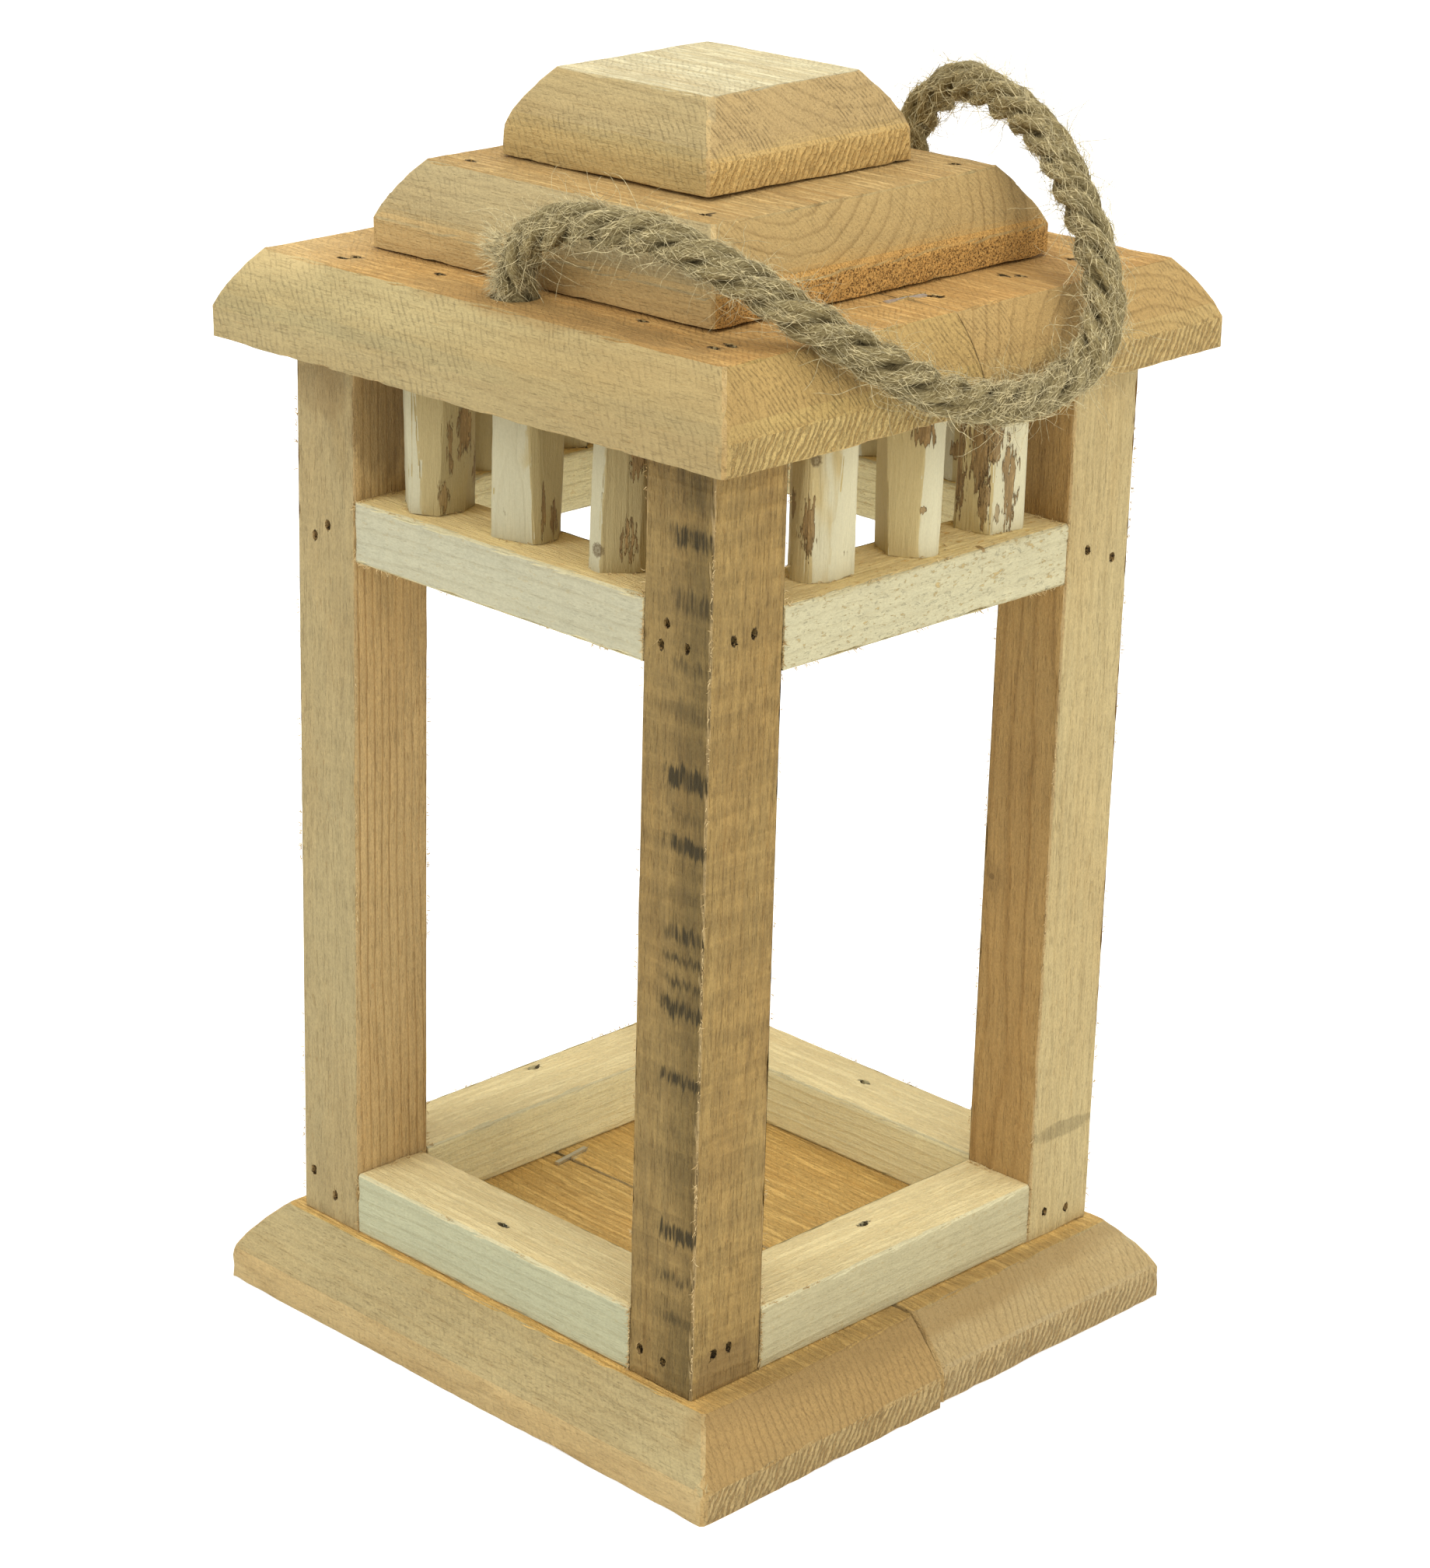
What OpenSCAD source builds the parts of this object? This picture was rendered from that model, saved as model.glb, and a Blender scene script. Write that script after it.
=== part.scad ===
// Wooden candle lantern: a base and a three-step roof of bevelled boards, four posts
// with rails between them, whittled branch sticks under the eaves, and a rope handle
// whose two ends are let into the lowest step of the roof.
// Millimetres. Origin: middle of the base's underside. +Z is up, -Y is the front, and
// the grain of the base and roof planks runs along X.

/* [Base] */
// Side of the square base
base_w = 160; // [152:1:190]
// Thickness of the base planks
base_t = 20; // [16:0.5:26]
// Height of the upright band under the base's bevel
base_band = 7.5; // [5:0.5:10]
// How far the base's bevel runs in
base_inset = 10; // [6:0.5:11]
// Gap between the two base planks
base_seam = 0.8; // [0.3:0.1:1]
// How far the seam of the base lies in front of the middle
base_seam_shift = 2; // [1:0.5:6]
// Turn of that seam, in degrees
base_seam_turn = 1; // [0:0.5:2]
// How much further the base reaches on the right than on the left
base_long = 2; // [0:0.1:2]
// How much the rear base plank falls short at its right end
rear_plank_short = 1.2; // [0:0.1:2]

/* [Hand work] */
// How far the planed bevels swell out from flat, in the base and in the roof
bevel_swell = 0.9; // [0:0.1:1.2]
// Lean of the whole roof, up towards its rear right corner, in degrees
roof_lean = 0.8; // [0:0.1:1]

/* [Frame] */
// Width over the posts, from the left face to the right face
frame_w = 132; // [128:1:138]
// Depth over the posts, from the front face to the rear face
frame_d = 136; // [132:1:138]
// Post size from left to right
post_w = 20; // [18:0.5:24]
// Post size from front to rear
post_d = 22; // [20:0.5:24]
// Height of a post
post_h = 216; // [190:1:260]
// Flat taken off the long edges of posts and rails
edge_ease = 0.6; // [0.2:0.1:1.5]

/* [Rails] */
// Depth of every rail, from its outer face inwards
rail_d = 20; // [18:0.5:22]
// Height of the sill rails, which lie on the base
sill_h = 15.5; // [12:0.5:22]
// Height of the upper rails
rail_h = 14.5; // [13:0.5:20]
// From the base's top to the top of the upper rails
rail_top = 180.5; // [150:0.5:182]

/* [Sticks] */
// Thickness of a stick before it is whittled
stick_d = 16.5; // [13:0.5:17]
// Room left beside a row of sticks, on each side, before the row is shifted
stick_margin = 9.25; // [8.25:0.25:11]
// From a rail's outer face in to the sticks' axis
stick_setback = 11.5; // [9:0.5:11.5]
// Sideways shift of the sticks on the front and rear rails
front_stick_shift = -2.5; // [-4:0.5:4]
// Sideways shift of the sticks on the left and right rails
side_stick_shift = 4.5; // [-4:0.5:6]
// Number of knife cuts round a stick
knife_cuts = 7; // [5:1:9]
// Deepest knife cut
knife_depth = 1.5; // [0.5:0.1:2]
// Largest lean of a knife cut along the stick, in degrees
knife_lean = 2; // [0:0.5:3]
// Unevenness of the cuts' spacing round a stick, in degrees
knife_stray = 20; // [0:1:20]

/* [Roof] */
// Side of the lowest roof step
roof_w = 160; // [156:1:190]
// Thickness of the lowest roof step
roof_t = 20; // [18:0.5:24]
// Height of its upright band
roof_band = 7; // [5:0.5:9]
// How far its bevel runs in
roof_inset = 8.5; // [6:0.5:9]
// Gap between the two planks of the lowest roof step
roof_seam = 0.3; // [0.2:0.1:0.8]
// How far the seam of the roof lies in front of the middle
roof_seam_shift = 2; // [2:0.5:8]
// How much further the front roof plank reaches at its left end
front_plank_long = 1.2; // [0:0.1:2]
// Side of the middle roof board
middle_w = 107; // [104:1:108]
// Thickness of the middle roof board
middle_t = 20; // [18:0.5:22]
// Height of its upright band
middle_band = 7; // [5:0.5:9]
// How far its bevel runs in
middle_inset = 8.5; // [6:0.5:10]
// How far the middle board sits to the left of the middle
middle_left = 3; // [0:0.5:5]
// Side of the top roof board
top_w = 65; // [56:1:74]
// Thickness of the top roof board
top_t = 20; // [16:0.5:26]
// Height of its upright band
top_band = 7; // [5:0.5:9]
// How far its bevel runs in
top_inset = 8.5; // [6:0.5:12]
// How far the top board sits to the left of the middle
top_left = 7; // [0:0.5:8]
// How far the top board sits to the rear of the middle
top_back = 2.5; // [0:0.5:4]

/* [Rope handle] */
// Diameter of the rope
rope_d = 10; // [8:0.5:10]
// From the roof's front or rear edge in to the middle of a rope hole
rope_hole_in = 19; // [17:0.5:19]
// How far the rope holes sit to the left of the middle
rope_hole_left = 1; // [0:0.5:2]
// Play round the rope in its hole
rope_hole_play = 0.4; // [0.2:0.1:0.8]
// Wood left under a rope hole
rope_hole_floor = 6; // [4:0.5:10]

/* [Brads and staples] */
// Diameter of a headless brad
brad_d = 1.3; // [1:0.1:1.4]
// Length of the brads that go through a post, a roof board or the base
brad_long = 34; // [28:1:34]
// Length of the brads that hold the sill rails to the base
brad_short = 25; // [20:1:28]
// How deep a brad is sunk below the wood's face
brad_sunk = 1.5; // [0.5:0.1:2]
// Play round a brad or a staple in its hole
brad_play = 0.05; // [0.03:0.01:0.1]
// From the left sill rail in to the staple on the candle floor
floor_staple_in = 4; // [2:0.5:12]
// From the middle roof board out to the staple on the lowest roof step
roof_staple_out = 6.5; // [3:0.5:10]
// Turn of the floor staple's crown from the run of the seam, in degrees
floor_staple_turn = 98; // [75:1:105]
// Turn of the roof staple's crown from the run of the seam, in degrees
roof_staple_turn = 83; // [75:1:105]
// Width of the staples across the plank seams
staple_w = 11.5; // [9:0.5:13]
// Length of a staple's legs
staple_leg = 14; // [8:1:15]
// Width of the staple wire
staple_wire = 1.2; // [0.8:0.1:1.6]
// Thickness of the staple wire
staple_thick = 0.7; // [0.4:0.1:0.9]

/* [Hidden] */
$fn = 48;
SIDES = ["front", "right", "rear", "left"];
STICKS_PER_SIDE = 3;

// Heights of the storeys
sill_z = base_t;
rail_z = base_t + rail_top - rail_h;
roof_z = base_t + post_h;
middle_z = roof_z + roof_t;
top_z = middle_z + middle_t;
// Centres of the corner posts
post_x = (frame_w - post_w) / 2;
post_y = (frame_d - post_d) / 2;
// Overshoot of a cut past the face that it opens
past = 1;
// Flats that make up a swelling bevel
BEVEL_FLATS = 4;

// How much higher each side's upper rail sits than the rest
RAIL_LIFTS = [["front", 1], ["right", -1], ["rear", 0], ["left", 0]];
// How far each stick strays along its rail, and how much thinner it is than the thickest
STICK_STRAYS = [
    ["front", [[0, 0], [0.8, 0.5], [1.8, 1.6]]], ["right", [[0, 1], [0.6, 0], [-1.8, 0.4]]],
    ["rear", [[0.5, 0.6], [-0.6, 0], [0, 1]]], ["left", [[0, 0.3], [1, 1], [-0.8, 0]]]
];

// Brads driven through each post, at the sill rail and at the upper rail:
// [post's side in x, post's side in y, axis they are driven along,
//  [[sideways, up] from the post's and the sill rail's middle, ...], [same at the upper rail]]
POST_BRADS = [
    [1, -1, "y", [[-6.4, -1.1], [0.9, -1.4]], [[-3, 4], [-4.5, -1], [3.2, 0]]],
    [1, -1, "x", [[-4.1, 1.7], [0.6, 1.8]], [[-4.2, 1.9], [1.8, 2.2]]],
    [-1, -1, "y", [[-6.3, 3], [1.4, -1]], [[-3.8, -2.8], [0.6, 0.5]]],
    [-1, -1, "x", [[-3, -4], [3, -3.5]], [[-3, 3], [3, 3.4]]],
    [1, 1, "x", [[-5.1, -1.3], [2.9, -2.7]], [[-3.7, -1.4], [5.2, -4.7]]],
    [1, 1, "y", [[-3, 2.8], [3, 2.4]], [[-3, 2.8], [3, 3.4]]],
    [-1, 1, "y", [[-3, -2], [3, -1.6]], [[-3, -2], [3, -1.6]]],
    [-1, 1, "x", [[-3, 2.6], [3, 3]], [[-3, 2.6], [3, 3]]]
];
// Brads up through the base into a post, from the post's middle
BASE_BRADS = [[1, -1, -2.7, 4], [-1, -1, -2.5, 0], [1, 1, 0, -1], [-1, 1, 0, 0]];
// Brads down through a sill rail: side, then [along the rail, across it] from its middle
SILL_BRADS = [["front", -3, -3], ["right", 1.5, 3], ["rear", 0.6, -2], ["left", -4.7, -7]];
// Brads down through the lowest roof step into a post, from the post's middle
ROOF_POST_BRADS = [
    [1, -1, 3.6, -0.7], [1, -1, 2.7, -4.7], [-1, -1, 4.2, -4.7], [-1, -1, 2.6, -7.9],
    [1, 1, 0.3, -3.2], [1, 1, 4.5, 0], [-1, 1, 0, -2], [-1, 1, 4, 1]
];
// Brads down through the roof into a stick: side, stick, then [along, out] from its axis
ROOF_STICK_BRADS = [
    ["front", 1, 4, 3], ["front", 3, 5, 0], ["right", 2, 0, 5], ["right", 3, -1, 2],
    ["right", 3, 1.5, 5], ["rear", 1, 0, 2], ["rear", 3, 0, 2], ["left", 1, 0, 0],
    ["left", 2, 2, 0], ["left", 3, -2, 0]
];
// Brads down through the middle board, as parts of its half side
MIDDLE_BRADS = [[0.69, -0.74], [-0.69, -0.72], [0.7, 0.72], [-0.7, 0.72]];
// Brads up through the middle board into the top board, as parts of its half side
TOP_BRADS = [[-0.45, -0.3], [0.45, 0.3]];

// The rope's centre line, from the bottom of the front hole to the bottom of the rear one
ROPE_ROUTE = [
    [-1, -61, 242], [-1, -61, 256], [0, -61, 264], [6, -61, 270], [16, -61, 274],
    [28, -61, 275], [40, -60, 275], [52, -58, 272], [62, -54, 268], [71, -50, 263],
    [79, -44, 258], [85, -36, 252], [88, -25, 246], [89, -11, 242], [89, 3, 241],
    [89, 15, 243], [88, 24, 248], [85, 30, 255], [81, 33, 262], [74, 37, 270],
    [66, 41, 276], [57, 45, 282], [47, 48, 287], [35, 52, 290], [21, 56, 291],
    [9, 60, 286], [2, 61, 279], [0, 61, 269], [-1, 61, 257], [-1, 61, 243]
];
ROPE_SIDES = 12;

// Turns a vector in the rail's own frame, x along it and -y outwards, to its side
function side_turn(side) = 90 * search([side], SIDES)[0];
function turned(p, a) = [p.x * cos(a) - p.y * sin(a), p.x * sin(a) + p.y * cos(a)];
function rail_out(side) = (side == "front" || side == "rear" ? frame_d : frame_w) / 2;
function rail_len(side) =
    side == "front" || side == "rear" ? frame_w - 2 * post_w : frame_d - 2 * post_d;
function stick_shift(side) =
    side == "front" ? front_stick_shift : side == "rear" ? -front_stick_shift
    : side == "right" ? side_stick_shift : -side_stick_shift;
function upper_rail_z(side) = rail_z + RAIL_LIFTS[search([side], SIDES)[0]][1];
function stick_pitch(side) =
    (rail_len(side) - 2 * stick_margin - stick_d) / (STICKS_PER_SIDE - 1);
function stick_stray(side, i) = STICK_STRAYS[search([side], SIDES)[0]][1][i - 1];
function stick_at(side, i) = turned(
    [(i - (STICKS_PER_SIDE + 1) / 2) * stick_pitch(side) + stick_shift(side)
            + stick_stray(side, i)[0],
        stick_setback - rail_out(side)],
    side_turn(side));

// Where each kind of brad starts, and the turn that points its local +Z inwards
function post_brad_list() = [
    for (row = POST_BRADS, level = [0, 1], b = row[3 + level])
        let (z = level == 0 ? sill_z + sill_h / 2 : rail_z + rail_h / 2)
            row[2] == "y"
            ? [[row[0] * post_x + b[0], row[1] * (frame_d / 2 - brad_sunk), z + b[1]], [row[1] * 90, 0, 0]]
            : [[row[0] * (frame_w / 2 - brad_sunk), row[1] * post_y + b[0], z + b[1]], [0, -row[0] * 90, 0]]
];
function base_brad_list() =
    [for (b = BASE_BRADS) [[b[0] * post_x + b[2], b[1] * post_y + b[3], brad_sunk], [0, 0, 0]]];
function sill_brad_list() = [
    for (b = SILL_BRADS)
        let (p = turned([b[1], rail_d / 2 - rail_out(b[0]) + b[2]], side_turn(b[0])))
            [[p.x, p.y, sill_z + sill_h - brad_sunk], [180, 0, 0]]
];
function roof_brad_list() = concat(
    [for (b = ROOF_POST_BRADS)
        [[b[0] * post_x + b[2], b[1] * post_y + b[3], middle_z - brad_sunk], [180, 0, 0]]],
    [for (b = ROOF_STICK_BRADS)
        let (p = stick_at(b[0], b[1]) + turned([b[2], -b[3]], side_turn(b[0])))
            [[p.x, p.y, middle_z - brad_sunk], [180, 0, 0]]],
    [for (b = MIDDLE_BRADS)
        [[b[0] * middle_w / 2 - middle_left, b[1] * middle_w / 2, top_z - brad_sunk], [180, 0, 0]]]
);
function top_brad_list() = [
    for (b = TOP_BRADS)
        [[b[0] * top_w / 2 - top_left, b[1] * top_w / 2 + top_back, middle_z + brad_sunk], [0, 0, 0]]
];

module brads(list, length) {
    color("silver")
        for (b = list)
            translate(b[0]) rotate(b[1]) cylinder(d = brad_d, h = length);
}

// The drilled holes of a list of brads, each open at the face it was driven from
module brad_holes(list, length) {
    for (b = list)
        translate(b[0]) rotate(b[1])
            translate([0, 0, -brad_sunk - past])
                cylinder(d = brad_d + 2 * brad_play, h = brad_sunk + past + length + brad_play);
}

// A staple, its crown along X with its underside at z = 0, and its legs down. The play
// widens it all round into the slot that it sits in.
module staple_shape(width, play = 0) {
    wire = staple_wire + 2 * play;
    translate([-width / 2 - play, -wire / 2, -play])
        cube([width + 2 * play, wire, staple_thick + 2 * play]);
    for (side = [-1, 1])
        translate([side * (width - staple_thick) / 2, 0, (staple_thick - staple_leg) / 2])
            cube([staple_thick + 2 * play, wire, staple_leg + staple_thick + 2 * play], center = true);
}

// The places of the seam staples: one on the candle floor, one beside the middle board
module at_floor_staple()
    translate([floor_staple_in + rail_d - frame_w / 2, -base_seam_shift, base_t])
        rotate([0, 0, floor_staple_turn]) children();

module at_roof_staple()
    translate([middle_w / 2 - middle_left + roof_staple_out, -roof_seam_shift,
        middle_z - staple_thick / 2])
        rotate([0, 0, roof_staple_turn]) children();

// Leans the roof on the tops of the posts
module lean_roof()
    translate([0, 0, roof_z]) rotate(a = roof_lean, v = [1, -1, 0])
        translate([0, 0, -roof_z]) children();

// All the space above the leaning underside of the roof
module above_frame() {
    reach = 2 * roof_w;
    lean_roof() translate([-reach / 2, -reach / 2, roof_z]) cube([reach, reach, reach]);
}

module roof_brad_holes() lean_roof() brad_holes(roof_brad_list(), brad_long);
module top_brad_holes() lean_roof() brad_holes(top_brad_list(), brad_long);

// A square-edged board with a bevel round its top, centred, standing on z = 0
module bevelled_board(w, d, t, band, inset) {
    difference() {
        translate([-w / 2, -d / 2, 0]) cube([w, d, t]);
        for (turn = [0, 180]) {
            rotate([0, 0, turn]) bevel_cut(w, d, t, band, inset);
            rotate([0, 0, turn + 90]) bevel_cut(d, w, t, band, inset);
        }
    }
}

// The piece that a bevel takes off the +X edge of a board. The bevel is planed by hand
// in a few flats, so that it swells out a little between its two edges.
module bevel_cut(w, d, t, band, inset) {
    bevel = [
        for (k = [0:BEVEL_FLATS])
            let (u = k / BEVEL_FLATS)
                [-inset * u + bevel_swell * 4 * u * (1 - u), band + (t - band) * u]
    ];
    translate([w / 2, 0, 0]) rotate([90, 0, 0])
        linear_extrude(height = d + 2 * past, center = true)
            polygon(concat(bevel, [[-inset, t + past], [past, t + past], [past, band]]));
}

// Half of the space, on one side of a seam that runs along X: side -1 is the front
module seam_side(side, shift, turn, gap) {
    reach = 2 * base_w + 2 * roof_w;
    translate([0, -shift, 0]) rotate([0, 0, turn])
        translate([-reach / 2, side < 0 ? -reach : gap / 2, -reach / 2])
            cube([reach, side < 0 ? reach - gap / 2 : reach, reach]);
}

module base_plank(side) {
    longer = base_long - (side < 0 ? 0 : rear_plank_short);
    color(side < 0 ? [0.80, 0.65, 0.45] : [0.82, 0.68, 0.48])
        difference() {
            intersection() {
                translate([longer / 2, 0, 0])
                    bevelled_board(base_w + longer, base_w, base_t, base_band, base_inset);
                seam_side(side, base_seam_shift, base_seam_turn, base_seam);
            }
            brad_holes(base_brad_list(), brad_long);
            brad_holes(sill_brad_list(), brad_short);
            at_floor_staple() staple_shape(staple_w, brad_play);
        }
}

// A bar along Z from z = 0, a by b, with its four long edges eased
module eased_bar(a, b, length) {
    e = edge_ease;
    x = a / 2;
    y = b / 2;
    linear_extrude(height = length)
        polygon([
            [x - e, -y], [x, -y + e], [x, y - e], [x - e, y],
            [-x + e, y], [-x, y - e], [-x, -y + e], [-x + e, -y]
        ]);
}

module post(x, y) {
    color([0.78, 0.64, 0.44])
        difference() {
            translate([x * post_x, y * post_y, base_t])
                eased_bar(post_w, post_d, post_h + 0.05 * roof_w);
            above_frame();
            brad_holes(post_brad_list(), brad_long);
            brad_holes(base_brad_list(), brad_long);
            roof_brad_holes();
        }
}

// A rail between two posts, flush with their outer faces, its underside at height z
module rail(side, z, height) {
    length = rail_len(side);
    rotate([0, 0, side_turn(side)])
        translate([-length / 2, rail_d / 2 - rail_out(side), z + height / 2])
            rotate([90, 0, 90]) eased_bar(rail_d, height, length);
}

module sill_rail(side) {
    color([0.91, 0.86, 0.68])
        difference() {
            rail(side, sill_z, sill_h);
            brad_holes(post_brad_list(), brad_long);
            brad_holes(sill_brad_list(), brad_short);
        }
}

module upper_rail(side) {
    color([0.92, 0.88, 0.72])
        difference() {
            rail(side, upper_rail_z(side), rail_h);
            brad_holes(post_brad_list(), brad_long);
        }
}

// A peeled branch with long flat knife cuts down it. Each stick has cuts of its own,
// spread round it by its number n.
module whittled_stick(n, d, length) {
    difference() {
        cylinder(d = d, h = length);
        for (k = [0:knife_cuts - 1]) {
            around = 360 * k / knife_cuts + knife_stray * sin(137 * n + 71 * k);
            depth = knife_depth * (0.6 + 0.4 * sin(97 * n + 151 * k));
            rotate([0, 0, around])
                translate([d / 2 - depth, 0, length / 2])
                    rotate([0, knife_lean * cos(61 * n + 113 * k), 0])
                        translate([0, -d, -length]) cube([d, 2 * d, 2 * length]);
        }
    }
}

module stick(side, i) {
    p = stick_at(side, i);
    z = upper_rail_z(side) + rail_h;
    n = i + STICKS_PER_SIDE * search([side], SIDES)[0];
    color([0.88, 0.80, 0.62])
        difference() {
            translate([p.x, p.y, z]) rotate([0, 0, 83 * n])
                whittled_stick(n, stick_d - stick_stray(side, i)[1], roof_z - z + 0.05 * roof_w);
            above_frame();
            roof_brad_holes();
        }
}

module roof_plank(side) {
    longer = side < 0 ? front_plank_long : 0;
    color([0.84, 0.71, 0.50])
        difference() {
            lean_roof() translate([0, 0, roof_z]) intersection() {
                translate([-longer / 2, 0, 0])
                    bevelled_board(roof_w + longer, roof_w, roof_t, roof_band, roof_inset);
                seam_side(side, roof_seam_shift, 0, roof_seam);
            }
            lean_roof()
                translate([-rope_hole_left, side * (roof_w / 2 - rope_hole_in), roof_z + rope_hole_floor])
                    cylinder(d = rope_d + 2 * rope_hole_play, h = roof_t);
            roof_brad_holes();
            lean_roof() at_roof_staple() staple_shape(staple_w, brad_play);
        }
}

module roof_middle_board() {
    color([0.85, 0.72, 0.50])
        difference() {
            lean_roof() translate([-middle_left, 0, middle_z])
                bevelled_board(middle_w, middle_w, middle_t, middle_band, middle_inset);
            roof_brad_holes();
            top_brad_holes();
        }
}

module roof_top_board() {
    color([0.84, 0.70, 0.49])
        difference() {
            lean_roof() translate([-top_left, top_back, top_z])
                bevelled_board(top_w, top_w, top_t, top_band, top_inset);
            top_brad_holes();
        }
}

// A round tube swept along a list of points, with a ring of its own at each point
function unit(v) = v / norm(v);
function tangents(path) = [
    for (i = [0:len(path) - 1])
        unit(path[min(i + 1, len(path) - 1)] - path[max(i - 1, 0)])
];
function square_to(v, t) = unit(v - (v * t) * t);
function carried_normals(t) = [
    for (i = 0, n = square_to([1, 0, 0], t[0]); i < len(t);
        i = i + 1, n = i < len(t) ? square_to(n, t[i]) : n) n
];

module swept_tube(path, radius, sides) {
    t = tangents(path);
    n = carried_normals(t);
    last = len(path) - 1;
    points = [
        for (i = [0:last], k = [0:sides - 1])
            path[i] + radius * (cos(360 * k / sides) * n[i] + sin(360 * k / sides) * cross(t[i], n[i]))
    ];
    walls = [
        for (i = [0:last - 1], k = [0:sides - 1])
            let (a = i * sides + k, b = i * sides + (k + 1) % sides)
                each [[a, a + sides, b], [b, a + sides, b + sides]]
    ];
    start_cap = [for (k = [0:sides - 1]) k];
    end_cap = [for (k = [sides - 1:-1:0]) last * sides + k];
    polyhedron(points, concat([start_cap], walls, [end_cap]));
}

module handle_rope() color([0.64, 0.57, 0.42]) swept_tube(ROPE_ROUTE, rope_d / 2, ROPE_SIDES);

module seam_staples() {
    color("silver") {
        at_floor_staple() staple_shape(staple_w);
        lean_roof() at_roof_staple() staple_shape(staple_w);
    }
}

base_plank(-1);  // base_plank_front
base_plank(1);  // base_plank_rear
post(-1, -1);  // post_front_left
post(1, -1);  // post_front_right
post(-1, 1);  // post_rear_left
post(1, 1);  // post_rear_right
for (side = SIDES) {
    sill_rail(side);
    upper_rail(side);
    for (i = [1:STICKS_PER_SIDE])
        stick(side, i);
}
roof_plank(-1);  // roof_plank_front
roof_plank(1);  // roof_plank_rear
roof_middle_board();
roof_top_board();
handle_rope();
brads(post_brad_list(), brad_long);  // post_brads
brads(base_brad_list(), brad_long);  // base_brads
brads(sill_brad_list(), brad_short);  // sill_brads
lean_roof() brads(roof_brad_list(), brad_long);  // roof_brads
lean_roof() brads(top_brad_list(), brad_long);  // top_board_brads
seam_staples();
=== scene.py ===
"""Wooden candle lantern with a rope handle: the finish of every piece, built around its frame.

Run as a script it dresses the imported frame: worn timber over the planks, posts and rails,
whittled sticks with remains of bark, a laid jute rope with its loose fibres, bright steel
brads and staples, and a plain white stage.
"""
import math
import random

import bmesh
import bpy
from mathutils import Matrix, Vector, noise


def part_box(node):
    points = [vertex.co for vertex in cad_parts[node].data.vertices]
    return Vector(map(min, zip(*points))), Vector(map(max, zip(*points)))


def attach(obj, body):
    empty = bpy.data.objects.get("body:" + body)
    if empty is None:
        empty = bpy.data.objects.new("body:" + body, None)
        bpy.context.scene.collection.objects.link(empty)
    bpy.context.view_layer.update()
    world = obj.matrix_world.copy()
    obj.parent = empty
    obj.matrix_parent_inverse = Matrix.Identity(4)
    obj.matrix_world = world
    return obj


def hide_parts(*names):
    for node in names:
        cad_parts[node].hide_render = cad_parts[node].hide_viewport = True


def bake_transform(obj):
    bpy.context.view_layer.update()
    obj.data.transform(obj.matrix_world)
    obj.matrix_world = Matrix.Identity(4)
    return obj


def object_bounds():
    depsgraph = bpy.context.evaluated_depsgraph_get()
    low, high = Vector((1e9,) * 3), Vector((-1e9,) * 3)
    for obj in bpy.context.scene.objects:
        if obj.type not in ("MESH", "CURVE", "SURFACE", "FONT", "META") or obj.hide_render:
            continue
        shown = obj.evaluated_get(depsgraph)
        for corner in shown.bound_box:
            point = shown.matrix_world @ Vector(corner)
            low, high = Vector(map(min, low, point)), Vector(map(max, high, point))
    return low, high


bl_info = {
    "name": "Wooden Candle Lantern",
    "version": (1, 0, 0),
    "blender": (4, 5, 0),
    "location": "3D View > Sidebar > Lantern",
    "description": "Finishes a wooden candle lantern with worn timber and a jute rope",
    "category": "Object",
}

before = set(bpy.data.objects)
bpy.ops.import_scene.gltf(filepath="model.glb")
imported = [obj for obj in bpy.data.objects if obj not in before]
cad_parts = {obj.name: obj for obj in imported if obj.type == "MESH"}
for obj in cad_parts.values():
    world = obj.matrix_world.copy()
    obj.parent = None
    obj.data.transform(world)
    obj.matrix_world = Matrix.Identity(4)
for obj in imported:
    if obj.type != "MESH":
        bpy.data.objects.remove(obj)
FRAME_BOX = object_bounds()

MM = 0.001
MERGE = 1e-6
SIDES = ("front", "right", "rear", "left")
OPPOSITE = {"front": "rear", "right": "left", "rear": "front", "left": "right"}
POSTS = ("front_left", "front_right", "rear_left", "rear_right")
STICKS_PER_SIDE = 3

# The rope's centre line in millimetres, from the bottom of the front hole to the bottom
# of the rear one
ROPE_ROUTE = (
    (-1, -61, 242), (-1, -61, 256), (0, -61, 264), (6, -61, 270), (16, -61, 274),
    (28, -61, 275), (40, -60, 275), (52, -58, 272), (62, -54, 268), (71, -50, 263),
    (79, -44, 258), (85, -36, 252), (88, -25, 246), (89, -11, 242), (89, 3, 241),
    (89, 15, 243), (88, 24, 248), (85, 30, 255), (81, 33, 262), (74, 37, 270),
    (66, 41, 276), (57, 45, 282), (47, 48, 287), (35, 52, 290), (21, 56, 291),
    (9, 60, 286), (2, 61, 279), (0, 61, 269), (-1, 61, 257), (-1, 61, 243),
)
# How much of the rope, from each end, grows no loose fibres
ROPE_BURIED = 15 * MM
# The roof leans a little on the posts, up towards its rear right corner
ROOF_LEAN = 0.8
ROOF_LEVEL = 236 * MM
ROOF_SEAM = -2 * MM


# ---------------------------------------------------------------- sizes and colours

def length_value(title, text, default, low=0.0, high=1.0):
    """A length in metres, as a user would set it."""
    return bpy.props.FloatProperty(
        name=title, description=text, default=default, min=low, max=high,
        subtype="DISTANCE", unit="LENGTH", precision=5)


def angle_value(title, text, degrees):
    """An angle, given here in degrees."""
    return bpy.props.FloatProperty(
        name=title, description=text, default=math.radians(degrees), subtype="ANGLE")


def colour_value(title, text, red, green, blue):
    """A colour as it shows on a screen, each part from 0 to 255."""
    return bpy.props.FloatVectorProperty(
        name=title, description=text, subtype="COLOR_GAMMA", size=3, min=0, max=1,
        default=(red / 255, green / 255, blue / 255))


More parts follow.
